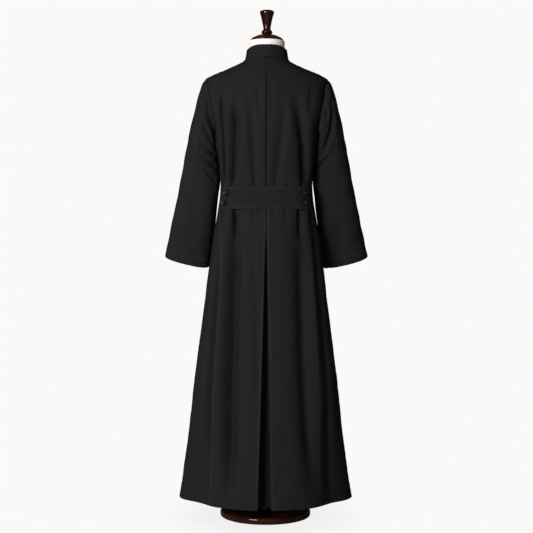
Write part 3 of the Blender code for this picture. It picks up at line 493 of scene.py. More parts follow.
# Main folds: start and end as section number and angle round the sleeve (0 outside, 90 back,
# 180 inside), half width, depth
sleeveFolds = {
    "left": (
        (2.6, 74.0, 3.8, 132.0, 0.011, 0.0055),
        (4.2, 80.0, 4.8, 146.0, 0.009, 0.0065),
        (4.9, 90.0, 5.5, 140.0, 0.009, 0.0060),
        (5.6, 104.0, 6.1, 138.0, 0.009, 0.0045),
        (3.0, -96.0, 4.5, -148.0, 0.011, 0.0060),
        (5.2, -100.0, 6.1, -136.0, 0.013, 0.0035),
    ),
    "right": (
        (1.9, 48.0, 4.7, 124.0, 0.009, 0.0080),
        (1.4, 80.0, 2.6, 120.0, 0.009, 0.0045),
        (2.7, 92.0, 3.5, 138.0, 0.009, 0.0055),
        (4.9, 98.0, 5.5, 144.0, 0.009, 0.0060),
        (3.2, -94.0, 4.6, -148.0, 0.011, 0.0060),
        (5.4, -106.0, 6.2, -150.0, 0.010, 0.0050),
    ),
}

# Finer creases with a raised lip: three points (section, angle) that the crease passes
# through, half width, depth
sleeveCreases = {
    "left": (
        ((0.9, 50.0), (0.95, 88.0), (1.4, 124.0), 0.0068, 0.0050),
        ((1.2, 96.0), (1.0, 130.0), (0.5, 160.0), 0.0065, 0.0036),
        ((3.1, 62.0), (3.2, 97.0), (3.7, 132.0), 0.0085, 0.0046),
        ((2.4, 56.0), (2.5, 88.0), (3.1, 118.0), 0.0075, -0.0020),
        ((4.3, 76.0), (4.6, 109.0), (4.6, 148.0), 0.0078, 0.0044),
        ((5.0, 86.0), (5.25, 112.0), (5.3, 144.0), 0.0078, 0.0042),
        ((5.7, 102.0), (5.9, 126.0), (5.9, 148.0), 0.0075, 0.0036),
        ((6.2, 120.0), (6.4, 136.0), (6.4, 150.0), 0.0075, 0.0022),
        ((3.0, 70.0), (5.0, 74.0), (7.6, 64.0), 0.0060, -0.0010),
        ((6.6, 76.0), (7.8, 84.0), (9.2, 80.0), 0.0200, 0.0022),
        ((0.3, 172.0), (1.7, 187.0), (3.3, 188.0), 0.0110, -0.0050),
        ((7.4, 178.0), (8.2, 182.0), (9.0, 182.0), 0.0180, -0.0008),
        ((2.0, -80.0), (3.2, -112.0), (4.4, -132.0), 0.0075, 0.0036),
        ((4.6, -92.0), (5.2, -120.0), (5.1, -146.0), 0.0075, 0.0034),
        ((5.8, -98.0), (6.3, -124.0), (6.2, -148.0), 0.0075, 0.0026),
        ((6.4, -70.0), (7.8, -80.0), (9.2, -74.0), 0.0200, 0.0022),
    ),
    "right": (
        ((0.4, 40.0), (0.2, 70.0), (0.2, 98.0), 0.0065, 0.0044),
        ((1.7, 40.0), (3.4, 84.0), (4.8, 126.0), 0.0078, 0.0052),
        ((1.4, 36.0), (2.9, 78.0), (4.2, 112.0), 0.0070, -0.0016),
        ((1.9, 72.0), (1.3, 100.0), (0.6, 128.0), 0.0080, 0.0038),
        ((2.7, 98.0), (2.2, 124.0), (1.6, 147.0), 0.0080, 0.0036),
        ((4.9, 92.0), (5.2, 122.0), (5.5, 146.0), 0.0078, 0.0048),
        ((5.9, 110.0), (5.9, 134.0), (6.0, 150.0), 0.0075, 0.0036),
        ((3.2, 60.0), (5.4, 76.0), (8.0, 88.0), 0.0065, -0.0012),
        ((6.8, 80.0), (8.0, 98.0), (9.3, 104.0), 0.0200, 0.0022),
        ((0.2, 174.0), (1.7, 187.0), (3.3, 188.0), 0.0110, -0.0050),
        ((7.6, 154.0), (9.0, 149.0), (10.4, 147.0), 0.0220, -0.0075),
        ((2.0, -76.0), (3.2, -108.0), (4.4, -134.0), 0.0075, 0.0036),
        ((4.4, -90.0), (5.2, -118.0), (5.3, -146.0), 0.0075, 0.0034),
        ((6.4, -72.0), (7.8, -82.0), (9.2, -76.0), 0.0200, 0.0022),
    ),
}

sleeveCurve = Curve(sleeveForm, along=range(len(sleeveForm["rows"])))


def armholePoints(turn, side):  # on the +X side, from the body's left (1) or right (-1) half
    z = armholeZ(turn)
    edge = armholeAngle(z, np.where(np.sin(turn) >= 0, 1, -1))
    points = bodyPoints(z, side * edge)
    points[..., 0] *= side
    return points


creaseForm = {
    "foldStart": 0.3,
    "foldFade": 0.5,
    "samples": 40,
    "fade": 0.3,
    "lip": 0.35,
    "lipPlace": 2.0,  # in half widths of the crease
    "lipHalf": 0.9,
}


def sleevePlane(station, turn, push=0.0):
    station, turn = np.broadcast_arrays(np.asarray(station, float), np.asarray(turn, float))
    at = {name: sleeveCurve.at(name, station) for name in sleeveForm["columns"]}
    outer = stack(at["outerX"], 0.0, at["outerZ"])
    inner = stack(at["innerX"], 0.0, at["innerZ"])
    middle = (outer + inner) / 2 + stack(0.0, at["middleY"], 0.0)
    half = np.linalg.norm(outer - inner, axis=-1) / 2
    across = unit(outer - inner)
    back = stack(0.0, np.ones(station.shape), -at["lean"])
    power = sleeveForm["power"]
    radius = (np.abs(np.cos(turn) / half) ** power
              + np.abs(np.sin(turn) / at["half"]) ** power) ** (-1 / power) - push
    return middle + across * (radius * np.cos(turn))[..., None] + back * (radius * np.sin(turn))[..., None]


def creaseStrength(here, points, half):
    first, second, third = points
    spots = np.linspace(0, 1, creaseForm["samples"])
    weights = ((1 - spots) * (1 - 2 * spots), 4 * spots * (1 - spots), spots * (2 * spots - 1))
    path = [sum(w * point[k] for w, point in zip(weights, (first, second, third))) for k in (0, 1)]
    best = np.full(here.shape[:-1], 1e9)
    place = np.zeros(here.shape[:-1])
    for spot, point in zip(spots, sleevePlane(path[0], np.radians(path[1]))):
        off = np.linalg.norm(here - point, axis=-1)
        closer = off < best
        best = np.where(closer, off, best)
        place = np.where(closer, spot, place)
    fade = ease(place / creaseForm["fade"]) * ease((1 - place) / creaseForm["fade"])
    lip = creaseForm["lip"] * bell(best - creaseForm["lipPlace"] * half, creaseForm["lipHalf"] * half)
    return fade, bell(best, half) - lip


def sleevePush(station, turn, name):
    here = sleevePlane(station, turn)
    total = np.zeros(here.shape[:-1])
    begin, run = creaseForm["foldStart"], creaseForm["foldFade"]
    for start, startAngle, end, endAngle, half, depth in sleeveFolds[name]:
        share = (station - start) / (end - start)
        nearest = np.clip(share, 0.0, 1.0)
        middle = np.radians(startAngle + (endAngle - startAngle) * nearest)
        off = np.linalg.norm(here - sleevePlane(start + (end - start) * nearest, middle), axis=-1)
        fade = ease((share + begin) / run) * ease((1 + begin - share) / run)
        total += depth * fade * bell(off, half)
    for *points, half, depth in sleeveCreases[name]:
        fade, form = creaseStrength(here, points, half)
        total += depth * fade * form
    return total


def sleevePoints(station, turn, name):
    side = 1 if name == "left" else -1
    points = sleevePlane(station, turn, sleevePush(station, turn, name))
    hold = (1 - ease(station / sleeveForm["armholeEase"]))[..., None]
    points = points + (armholePoints(turn, side) - sleevePlane(0.0, turn)) * hold
    points[..., 0] += sleeveForm["armholeGap"] * hold[..., 0]
    return points


def ripples(points, scale, seed, stretch=2.6):  # soft uneven noise, longer up and down
    random = np.random.default_rng(seed)
    total = np.zeros(points.shape[:-1])
    for k in range(9):
        way = random.normal(size=3) * (1, 1, 1 / stretch)
        way /= np.linalg.norm(way)
        pitch = scale * random.uniform(0.7, 1.6)
        total += np.sin(points @ way * 2 * math.pi / pitch + random.uniform(0, 2 * math.pi))
    return total / 4.5


class SeamLines:  # distance from any point to the nearest of some lines, and the place along it
    def __init__(self, lines):
        self.points = np.concatenate(lines)
        self.runs = np.concatenate([runLength(line) for line in lines])
        self.tree = KDTree(len(self.points))
        for i, point in enumerate(self.points):
            self.tree.insert(point, i)
        self.tree.balance()

    def measure(self, points):
        flat = points.reshape(-1, 3)
        found = [self.tree.find(point)[1:] for point in flat]
        place = self.runs[[index for index, distance in found]]
        away = np.array([distance for index, distance in found])
        return away.reshape(points.shape[:-1]), place.reshape(points.shape[:-1])


def seamHeights(low, high, pitch=0.002):
    return np.linspace(low, high, max(2, int((high - low) / pitch)))


def makeSeams():
    lines, skirtLines = [], []
    lines.append(bodyPoints(seamHeights(garment["waistZ"], garment["neckZ"]), 0.0))
    turns = np.linspace(0, 2 * math.pi, 400)
    z = seamHeights(garment["hemZ"], seamTopZ)
    shoulder = garment["shoulderZ"] + (garment["neckZ"] - garment["shoulderZ"]) * np.linspace(0, 1, 90)
    for side in (1, -1):
        for name in ("back", "front"):
            run = bodyPoints(z, side * seamCurve.at(name, z))
            lines.append(run)
            if name == "back":
                skirtLines.append(run[run[:, 2] < sewing["ridgeTopZ"]])
        lines.append(armholePoints(turns, side) * (side, 1, 1))
        lines.append(bodyPoints(shoulder, side * 90.0))
    return SeamLines(lines), SeamLines(skirtLines)


seamLines, skirtSeamLines = makeSeams()


def clothRelief(points, z, away, place, awaySkirt, centre):  # fine relief of the sewn cloth, outwards
    groove = -sewing["groove"] * bell(away, sewing["grooveHalf"])
    groove = groove - sewing["centreGroove"] * centre
    wave = np.sin(2 * math.pi * place / sewing["puckerPitch"] + 2.2 * np.sin(place * 31))
    pucker = sewing["pucker"] * wave * np.exp(-away / sewing["puckerReach"])
    pucker = pucker * ease(away / sewing["puckerStart"])
    ridge = sewing["ridge"] * bell(awaySkirt, sewing["ridgeHalf"])
    angle = np.arctan2(points[..., 0], points[..., 1])
    hem = -sewing["stitchGroove"] * bell(z - hemLineZ, sewing["stitchHalf"])
    hem = hem + sewing["hemLayer"] * ease((hemLineZ - z) / sewing["hemStep"])
    hemWave = np.sin(angle * 71 + 2 * np.sin(angle * 9)) + 0.6 * np.sin(angle * 133 + 1.3)
    hem = hem + sewing["hemWave"] * hemWave * np.exp(-np.abs(z - hemLineZ) / sewing["hemWaveReach"])
    calm = ease(beyondBelt(z) / sewing["beltCalm"])
    upper = ease((garment["neckZ"] - z) / sewing["neckCalm"])
    loose = (0.25 + 0.75 * calm) * (0.2 + 0.8 * upper)
    rough = (crumple["wideDepth"] * ripples(points, crumple["wide"], crumple["seed"])
             + crumple["fineDepth"] * ripples(points, crumple["fine"], crumple["seed"] + 1, 1.6))
    return groove + pucker + ridge + hem + rough * loose


def bodyDetail(points, z):  # relief, and painted light: pressed with a painted highlight above 0, painted shade in a seam below 0
    away, place = seamLines.measure(points)
    awaySkirt = skirtSeamLines.measure(points)[0]
    look = seamShade
    x, behind = points[..., 0], points[..., 1] > 0
    aboveBelt = ease((z - belt["highZ"] + look["beltFade"]) / look["beltFade"])
    centre = bell(x, sewing["centreHalf"]) * behind
    centre = centre * aboveBelt * ease((look["centreTopZ"] - z) / look["centreFade"])
    yoke = ease((look["yokeZ"] - z) / look["yokeFade"])
    centre = centre * (look["yokeTone"] + (1 - look["yokeTone"]) * yoke)
    # pressed, with a painted highlight, along the skirt's side seams, the hem stitching and beside the centre
    # back seam
    press = bell(awaySkirt, look["skirtHalf"])
    press = np.maximum(press, look["hemTone"] * bell(z - hemLineZ, look["hemHalf"]))
    beside = look["besideTone"] * bell(x + look["besidePlace"], look["besideHalf"]) * behind
    beside = beside * aboveBelt * ease((look["besideTopZ"] - z) / look["besideFade"])
    press = np.maximum(press, beside)
    # painted shade along the seams, stronger at the centre back seam
    seam = bell(away, look["seamHalf"]) * (1 - ease(1 - awaySkirt / look["skirtReach"]))
    seam = np.maximum(seam, look["centreTone"] * centre)
    neck = look["neckTone"] * bell(x, look["neckHalf"]) * ease((z - look["neckZ"]) / look["neckFade"])
    return clothRelief(points, z, away, place, awaySkirt, centre), press - seam * (1 - neck)


def bodyCloth(z, degrees, raised=0.0, calm=None):
    points, normals = bodyPoints(z, degrees), bodyNormals(z, degrees)
    zs = np.broadcast_to(z, points.shape[:-1])
    detail, press = bodyDetail(points, zs)
    angle = np.radians(np.broadcast_to(degrees, zs.shape))
    radius = bodyRadius(zs, angle)
    pushes = []
    for step in (-1, 0, 1):
        turn = angle + (step * sewing["creaseReach"] - sewing["creaseShift"]) / radius
        pushes.append(foldPush(zs, turn, radius) + gatherPush(zs, turn, radius))
    # painted shade: darker where the cloth lies in a fold's hollow, set off towards the wearer's left and
    # strongest on the garment's left side
    hollowPaintedShade = ease((pushes[1] - (pushes[0] + pushes[2]) / 2) / sewing["hollowDeep"])
    press = press - sewing["hollowPaintedShade"] * (0.5 + 0.5 * np.sin(angle)) ** 2 * hollowPaintedShade
    if calm is not None:
        detail = detail * calm
    return points + normals * (detail + raised)[..., None], normals, press


def shell(name, outer, normals, thick, press=None, valid=None, closed=False, bulge=0.35):
    rows, columns = outer.shape[:2]
    inner = outer - normals * thick
    number = np.arange(rows * columns).reshape(rows, columns)
    nextOnes = np.roll(number, -1, axis=1) if closed else number[:, 1:]
    ones = number if closed else number[:, :-1]
    quads = np.stack([ones[:-1], nextOnes[:-1], nextOnes[1:], ones[1:]], axis=-1).reshape(-1, 4)
    if valid is not None:
        quads = quads[valid.reshape(-1)[quads].all(axis=1)]
    flat, facing = outer.reshape(-1, 3), normals.reshape(-1, 3)
    sample = quads[len(quads) // 2]
    crossing = np.cross(flat[sample[2]] - flat[sample[0]], flat[sample[3]] - flat[sample[1]])
    if np.dot(crossing, facing[sample[0]]) < 0:
        quads = quads[:, ::-1]
    count = rows * columns
    starts, ends = quads.reshape(-1), np.roll(quads, -1, axis=1).reshape(-1)
    free = ~np.isin(starts.astype(np.int64) * count + ends, ends.astype(np.int64) * count + starts)
    starts, ends = starts[free], ends[free]
    outwards = np.zeros((count, 3))
    away = unit(np.cross(flat[ends] - flat[starts], facing[starts]))
    np.add.at(outwards, starts, away)
    np.add.at(outwards, ends, away)
    rim = np.unique(np.concatenate([starts, ends]))
    middles = flat[rim] - facing[rim] * (thick / 2) + unit(outwards[rim]) * (thick * bulge)
    rimNumber = np.zeros(count, int)
    rimNumber[rim] = np.arange(len(rim)) + 2 * count
    a, b = rimNumber[starts], rimNumber[ends]
    faces = np.concatenate([
        quads, quads[:, ::-1] + count,
        np.stack([ends, starts, a, b], axis=1), np.stack([b, a, starts + count, ends + count], axis=1)])
    points = np.concatenate([flat, inner.reshape(-1, 3), middles])
    across = np.linalg.norm(np.diff(outer, axis=1), axis=2)
    across = np.concatenate([np.zeros((rows, 1)), np.cumsum(across, axis=1)], axis=1)
    if not closed:
        across = across - across[:, columns // 2:columns // 2 + 1]
    up = np.linalg.norm(np.diff(outer[:, columns // 2], axis=0), axis=1)
    up = np.broadcast_to(np.concatenate([[0], np.cumsum(up)])[:, None], (rows, columns))
    uv = np.stack([across, up], axis=-1).reshape(-1, 2)
    uv = np.concatenate([uv, uv, uv[rim]])
    pressAndPaintedLight = np.zeros(count) if press is None else press.reshape(-1)
    pressAndPaintedLight = np.concatenate([pressAndPaintedLight, pressAndPaintedLight, np.full(len(rim), sewing["rimPress"])])
    return meshObject(name, points, faces, uv, pressAndPaintedLight)


def addObject(name, data):
    made = bpy.data.objects.new(name, data)
    bpy.context.collection.objects.link(made)
    return made


def meshObject(name, points, faces, uv, pressAndPaintedLight):
    used = np.unique(faces)
    renumber = np.zeros(len(points), int)
    renumber[used] = np.arange(len(used))
    mesh = bpy.data.meshes.new(name)
    mesh.from_pydata(points[used].tolist(), [], renumber[faces].tolist())
    layer = mesh.uv_layers.new(name="cloth")
    layer.data.foreach_set("uv", uv[faces.reshape(-1)].astype(np.float32).reshape(-1))
    # above 0 where it is pressed, with a painted highlight; below 0 painted shade in seams, fold hollows,
    # creases, on the pleat's underlay and round buttons
    for label, values in (("press", np.maximum(pressAndPaintedLight, 0)), ("seam", np.maximum(-pressAndPaintedLight, 0))):
        attribute = mesh.attributes.new(label, "FLOAT", "POINT")
        attribute.data.foreach_set("value", values[used].astype(np.float32))
    mesh.shade_smooth()
    mesh.update()
    return addObject(name, mesh)


def standFor(made, node):
    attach(made, "root")
    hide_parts(node)
    return made


def clothPiece(made, node, material):
    made.data.materials.append(material)
    return standFor(made, node)


stitches = {}


def readAlong(values, run, where):
    return np.stack([np.interp(where, run, values[:, k]) for k in range(3)], axis=1)


def stitchRun(group, points, normals):
    pitch, half = sewing["stitchPitch"], sewing["stitchLong"] / 2
    run = runLength(points)
    places = np.arange(pitch / 2, run[-1] - pitch / 2, pitch)
    centre = readAlong(points, run, places)
    along = unit(readAlong(points, run, places + half) - readAlong(points, run, places - half))
    normal = unit(readAlong(normals, run, places))
    stitches.setdefault(group, []).append((centre, along, normal))


def stitchHem(z, points, normals):
    row = np.argmin(np.abs(z - hemLineZ))
    stitchRun("skirtHemStitching", points[row], normals[row])


def sewStitches(group, material):
    centre, along, normal = (np.concatenate(parts) for parts in zip(*stitches[group]))
    across = unit(np.cross(along, normal))
    long, wide = sewing["stitchLong"] / 2, sewing["stitchWide"] / 2
    sites = [(-1.0, 0, -1.1)]  # a thread pointed at both ends, which go into the cloth
    for x in (-0.55, 0.55):
        sites += [(x, 1, 0.0), (x, 0, 1.0), (x, -1, 0.0), (x, 0, -1.0)]
    sites.append((1.0, 0, -1.1))
    parts = [centre + along * (x * long) + across * (y * wide) + normal * (z * wide * 0.8 + wide * 0.25)
             for x, y, z in sites]
    points = np.stack(parts, axis=1)
    tris = [(0, 2, 1), (0, 3, 2), (0, 4, 3), (0, 1, 4), (9, 5, 6), (9, 6, 7), (9, 7, 8), (9, 8, 5)]
    quads = [(1, 2, 6, 5), (2, 3, 7, 6), (3, 4, 8, 7), (4, 1, 5, 8)]
    faces = []
    for i in range(len(centre)):
        faces += [tuple(k + i * len(sites) for k in face) for face in tris + quads]
    mesh = bpy.data.meshes.new(group)
    mesh.from_pydata(points.reshape(-1, 3).tolist(), [], faces)
    mesh.shade_smooth()
    made = addObject(group, mesh)
    made.data.materials.append(material)
    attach(made, "root")


class Wire:  # a socket that can be used in sums
    def __init__(self, finish, socket):
        self.finish = finish
        self.socket = socket

    def maths(self, operation, first, second):
        return self.finish.node("ShaderNodeMath", {"operation": operation}, {0: first, 1: second})

    def __add__(self, other):
        return self.maths("ADD", self, other)

    def __radd__(self, other):
        return self.maths("ADD", other, self)

    def __sub__(self, other):
        return self.maths("SUBTRACT", self, other)

    def __mul__(self, other):
        return self.maths("MULTIPLY", self, other)

    def __pow__(self, other):
        return self.maths("POWER", self, other)


class Finish:  # a material and its Principled shader
    def __init__(self, name, constants):
        self.material = bpy.data.materials.new(name)
        self.material.use_nodes = True
        self.tree = self.material.node_tree
        self.shader = self.tree.nodes["Principled BSDF"]
        for key, value in constants.items():
            self.shader.inputs[key].default_value = value

    def node(self, kind, settings=None, inputs=None, output=0):
        made = self.tree.nodes.new(kind)
        for key, value in (settings or {}).items():
            setattr(made, key, value)
        for key, value in (inputs or {}).items():
            if isinstance(value, Wire):
                self.tree.links.new(value.socket, made.inputs[key])
            else:
                made.inputs[key].default_value = value
        return Wire(self, made.outputs[output])

    def feed(self, name, wire):
        self.tree.links.new(wire.socket, self.shader.inputs[name])

    def blend(self, share, first, second):  # between two colours
        return self.node("ShaderNodeMix", {"data_type": "RGBA"}, {0: share, 6: first, 7: second}, 2)

    def noise(self, place, scale, detail=2.0, roughness=0.5):
        return self.node("ShaderNodeTexNoise", {"noise_dimensions": "3D"},
                         {"Vector": place, "Scale": scale, "Detail": detail, "Roughness": roughness})

    def bump(self, height, strength, distance, before=None):
        inputs = {"Height": height, "Strength": strength, "Distance": distance}
        if before is not None:
            inputs["Normal"] = before
        return self.node("ShaderNodeBump", {}, inputs)

    def objectPlace(self, scale=(1, 1, 1)):
        place = self.node("ShaderNodeTexCoord", {}, {}, 3)
        return self.node("ShaderNodeMapping", {}, {"Vector": place, "Scale": scale})


def level(value):
    return (value, value, value, 1.0)


clothLook = {
    "colour": (0.0128, 0.0127, 0.0129),
    "worn": (0.0160, 0.0158, 0.0157),
    "pressAndPaintedLight": (0.0205, 0.0202, 0.0200),
    "deep": (0.0100, 0.0099, 0.0102),
    "seam": (0.002, 0.002, 0.002, 1.0),
    "twillPitch": 0.0012,
    "twillTurn": math.radians(58),
    "nap": 900.0,
    "cloud": 9.0,
    "roughness": 0.84,
    "pressedShine": 0.10,
    "paintedHighlightTone": 0.75,
    "seamTone": 0.80,
    "bump": 0.30,
    "slub": 0.12,
}


def blackCloth(name, shade=1.0):
    look = clothLook
    finish = Finish(name, {"Specular IOR Level": 0.04})
    tones = {key: tuple(c * shade for c in look[key]) + (1.0,)
             for key in ("colour", "worn", "pressAndPaintedLight", "deep")}
    uv = finish.node("ShaderNodeUVMap", {"uv_map": "cloth"})
    turned = finish.node("ShaderNodeMapping", {}, {"Vector": uv, "Rotation": (0, 0, look["twillTurn"])})
    scale = 2 * math.pi / (20 * look["twillPitch"])
    twill = finish.node("ShaderNodeTexWave", {"wave_type": "BANDS", "bands_direction": "X"},
                        {"Vector": turned, "Scale": scale, "Distortion": 0.6, "Detail": 1.0,
                         "Detail Scale": 2.0}, 1)
    nap = finish.noise(uv, look["nap"], 3.0, 0.65)
    cloud = finish.noise(finish.objectPlace(), look["cloud"], 3.0, 0.55)
    press = finish.node("ShaderNodeAttribute", {"attribute_name": "press"}, {}, 2)
    seam = finish.node("ShaderNodeAttribute", {"attribute_name": "seam"}, {}, 2)
    colour = finish.blend(nap * 0.5 + cloud * 0.5, tones["deep"], tones["worn"])
    colour = finish.blend(0.45 + twill * 0.1, colour, tones["colour"])
    # painted highlight: the colour is lighter where the cloth is pressed, beside seams and along edges; the
    # roughness drop below is the real pressed shine
    colour = finish.blend(press * look["paintedHighlightTone"], colour, tones["pressAndPaintedLight"])
    # painted shade: the colour darkens towards near black in seams, fold hollows, creases, on the underlay
    # and round buttons
    colour = finish.blend(seam * look["seamTone"], colour, look["seam"])
    finish.feed("Base Color", colour)
    finish.feed("Roughness", look["roughness"] + nap * 0.10 - press * look["pressedShine"])
    height = twill * 0.6 + nap * 0.7
    bump = finish.bump(height, look["bump"], 0.0003)
    slub = finish.noise(finish.objectPlace(), 60.0, 2.0, 0.5)
    finish.feed("Normal", finish.bump(slub, look["slub"], 0.0015, bump))
    return finish.material


def threadFinish():
    finish = Finish("blackThread", {"Specular IOR Level": 0.15})
    grain = finish.noise(finish.objectPlace(), 2400.0, 2.0, 0.5)
    finish.feed("Base Color", finish.blend(grain, level(0.009), level(0.015)))
    finish.feed("Roughness", 0.45 + grain * 0.2)
    finish.feed("Normal", finish.bump(grain, 0.4, 0.0001))
    return finish.material


def buttonFinish():
    finish = Finish("darkHorn", {"Specular IOR Level": 0.35, "Coat Weight": 0.06, "Coat Roughness": 0.20})
    swirl = finish.noise(finish.objectPlace(), 160.0, 4.0, 0.6)
    finish.feed("Base Color", finish.blend(swirl, (0.005, 0.0045, 0.0045, 1), (0.012, 0.011, 0.0105, 1)))
    finish.feed("Roughness", 0.24 + swirl * 0.14)
    finish.feed("Normal", finish.bump(finish.noise(finish.objectPlace(), 1200.0, 2.0), 0.15, 0.0002))
    return finish.material


def ivoryFinish():
    finish = Finish("ivoryJersey", {"Specular IOR Level": 0.25, "Sheen Weight": 0.15})
    place = finish.objectPlace()
    rib = finish.node("ShaderNodeTexWave", {"wave_type": "RINGS", "rings_direction": "Z"},
                      {"Vector": place, "Scale": 200.0, "Distortion": 1.0, "Detail": 1.0}, 1)
    nap = finish.noise(place, 700.0, 3.0, 0.6)
    cloud = finish.noise(place, 14.0, 2.0, 0.5)
    colour = finish.blend(nap * 0.5 + cloud * 0.5, (0.80, 0.75, 0.66, 1), (0.93, 0.89, 0.81, 1))
    finish.feed("Base Color", colour)
    finish.feed("Roughness", 0.78 + nap * 0.15)
    finish.feed("Normal", finish.bump(rib * 0.4 + nap, 0.35, 0.0003))
    return finish.material


def woodFinish(name, along, coat, dark, light):
    finish = Finish(name, {"Coat Weight": coat, "Coat Roughness": 0.05, "Specular IOR Level": 0.02})
    place = finish.objectPlace(along)
    ring = finish.noise(place, 26.0, 4.0, 0.62)
    pore = finish.noise(place, 210.0, 3.0, 0.7)
    grain = finish.node("ShaderNodeTexWave", {"wave_type": "BANDS", "bands_direction": "Y"},
                        {"Vector": place, "Scale": 5.0, "Distortion": 7.0, "Detail": 3.0,
                         "Detail Scale": 1.5}, 1)
    colour = finish.blend(grain * 0.55 + ring * 0.45, dark, light)
    colour = finish.blend(pore ** 3 * 0.7, colour, (0.010, 0.003, 0.002, 1))
    finish.feed("Base Color", colour)
    finish.feed("Roughness", 0.22 + ring * 0.12 + pore * 0.06)
    finish.feed("Normal", finish.bump(pore * 0.5 + grain * 0.4, 0.10, 0.0004))
    return finish.material


def steelFinish():
    finish = Finish("poleSteel", {"Metallic": 1.0})
    brushed = finish.noise(finish.objectPlace((1, 1, 0.02)), 900.0, 3.0, 0.6)
    finish.feed("Base Color", finish.blend(brushed, level(0.30), level(0.46)))
    finish.feed("Roughness", 0.26 + brushed * 0.20)
    finish.feed("Normal", finish.bump(brushed, 0.12, 0.0002))
    return finish.material


cloth = blackCloth("blackCloth")
sleeveCloth = blackCloth("blackSleeveCloth")
beltCloth = blackCloth("blackBeltCloth", 0.95)
thread = threadFinish()
horn = buttonFinish()
ivory = ivoryFinish()
woodUp = woodFinish("darkWoodUpright", (1.0, 1.0, 0.10), 0.40, (0.004, 0.0007, 0.0004, 1),
                    (0.062, 0.0100, 0.0022, 1))
woodFlat = woodFinish("darkWoodFoot", (0.12, 1.0, 1.0), 0.30, (0.007, 0.0016, 0.0007, 1),
                      (0.052, 0.0120, 0.0040, 1))
steel = steelFinish()
print("finishes ready")

torso = {
    "columns": ("z", "half", "back", "front"),
    "rows": (
        (0.800, 0.120, 0.078, 0.084), (0.815, 0.134, 0.086, 0.094), (0.880, 0.140, 0.088, 0.098),
        (0.950, 0.132, 0.082, 0.092), (1.020, 0.122, 0.078, 0.088), (1.090, 0.126, 0.082, 0.094),
        (1.160, 0.136, 0.088, 0.102), (1.240, 0.148, 0.094, 0.106), (1.310, 0.164, 0.092, 0.098),
        (1.355, 0.170, 0.082, 0.084), (1.382, 0.158, 0.072, 0.072), (1.402, 0.120, 0.064, 0.062),
        (1.420, 0.083, 0.058, 0.055), (1.440, 0.063, 0.0555, 0.0535), (1.465, 0.0570, 0.0550, 0.0530),
        (1.5117, 0.0565, 0.0548, 0.0528),
    ),
    "around": 96,
    "rings": 70,
}

stand = {
    "cap": (
        (0.0500, 0.0000), (0.0518, 0.0016), (0.0518, 0.0040), (0.0490, 0.0078),
        (0.0380, 0.0142), (0.0256, 0.0190), (0.0150, 0.0212),
    ),
    "capZ": 1.5120,
    "finial": (
        (0.0120, 0.0000), (0.0165, 0.0032), (0.0176, 0.0070), (0.0152, 0.0115), (0.0115, 0.0155),
        (0.0118, 0.0205), (0.0152, 0.0388), (0.0194, 0.0572), (0.0224, 0.0680), (0.0220, 0.0724),
        (0.0175, 0.0753), (0.0085, 0.0766),
    ),
    "foot": (
        (0.1418, 0.0000), (0.1434, 0.0015), (0.1441, 0.0060), (0.1438, 0.0140), (0.1412, 0.0190),
        (0.1360, 0.0212), (0.1280, 0.0218), (0.1000, 0.0240), (0.0930, 0.0285), (0.0420, 0.0310),
    ),
    "pole": 0.0160,
    "poleCollar": 0.0225,
    "around": 96,
    "between": 4,  # rings added between two points of a profile
}


def clearChoice():
    if bpy.context.object and bpy.context.object.mode != "OBJECT":
        bpy.ops.object.mode_set(mode="OBJECT")
    bpy.ops.object.select_all(action="DESELECT")


def firstRing(name, radius, z, around):
    clearChoice()
    bpy.ops.mesh.primitive_circle_add(vertices=around, radius=radius, fill_type="NGON", location=(0, 0, z))
    made = bpy.context.object
    made.name = made.data.name = name
    bpy.ops.object.transform_apply(location=True, rotation=True, scale=True)
    bpy.ops.object.mode_set(mode="EDIT")
    bpy.ops.mesh.select_mode(type="FACE")
    bpy.ops.mesh.select_all(action="SELECT")
    return made


def lastRing(made, material, sharp):
    bpy.ops.mesh.select_all(action="SELECT")
    bpy.ops.mesh.normals_make_consistent(inside=False)
    bpy.ops.object.mode_set(mode="OBJECT")
    bpy.ops.object.shade_smooth_by_angle(angle=math.radians(sharp))
    made.data.materials.append(material)
    clearChoice()
    return made


def smoothProfile(profile, between):
    points = np.array(profile)
    run = runLength(points)
    slopes = [np.gradient(points[:, k], run) for k in (0, 1)]
    made = []
    for i in range(len(points) - 1):
        for j in range(between):
            t, span = j / between, run[i + 1] - run[i]
            made.append([curveBetween(t, span, points[i:i + 2, k], slopes[k][i:i + 2]) for k in (0, 1)])
    return made + [list(points[-1])]


def turnWood(name, profile, floor, material, between=None, sharp=40):
    points = smoothProfile(profile, between or stand["between"])
    made = firstRing(name, points[0][0], floor + points[0][1], stand["around"])
    for (radius, z), (nextRadius, nextZ) in zip(points, points[1:]):
        bpy.ops.mesh.extrude_region_move(TRANSFORM_OT_translate={"value": (0, 0, nextZ - z)})
        grow = nextRadius / radius
        bpy.ops.transform.resize(value=(grow, grow, 1), center_override=(0, 0, floor + nextZ))
    return lastRing(made, material, sharp)


def buildTorso():
    curve = Curve(torso)
    rings = np.linspace(torso["rows"][0][0], torso["rows"][-1][0], torso["rings"])
    made = firstRing("torso", 1.0, rings[0], torso["around"])
    half, depth, middle = 1.0, 1.0, 0.0
    for i, z in enumerate(rings):
        if i:
            rise = float(z - rings[i - 1])
            bpy.ops.mesh.extrude_region_move(TRANSFORM_OT_translate={"value": (0, 0, rise)})
        back, front = curve.at("back", z), curve.at("front", z)
        newHalf, newDepth = float(curve.at("half", z)), float((back + front) / 2)
        newMiddle = float((back - front) / 2)
        bpy.ops.transform.resize(value=(newHalf / half, newDepth / depth, 1),
                                 center_override=(0, middle, float(z)))
        bpy.ops.transform.translate(value=(0, newMiddle - middle, 0))
        half, depth, middle = newHalf, newDepth, newMiddle
    lastRing(made, ivory, 50)
    standFor(made, "form_torso")


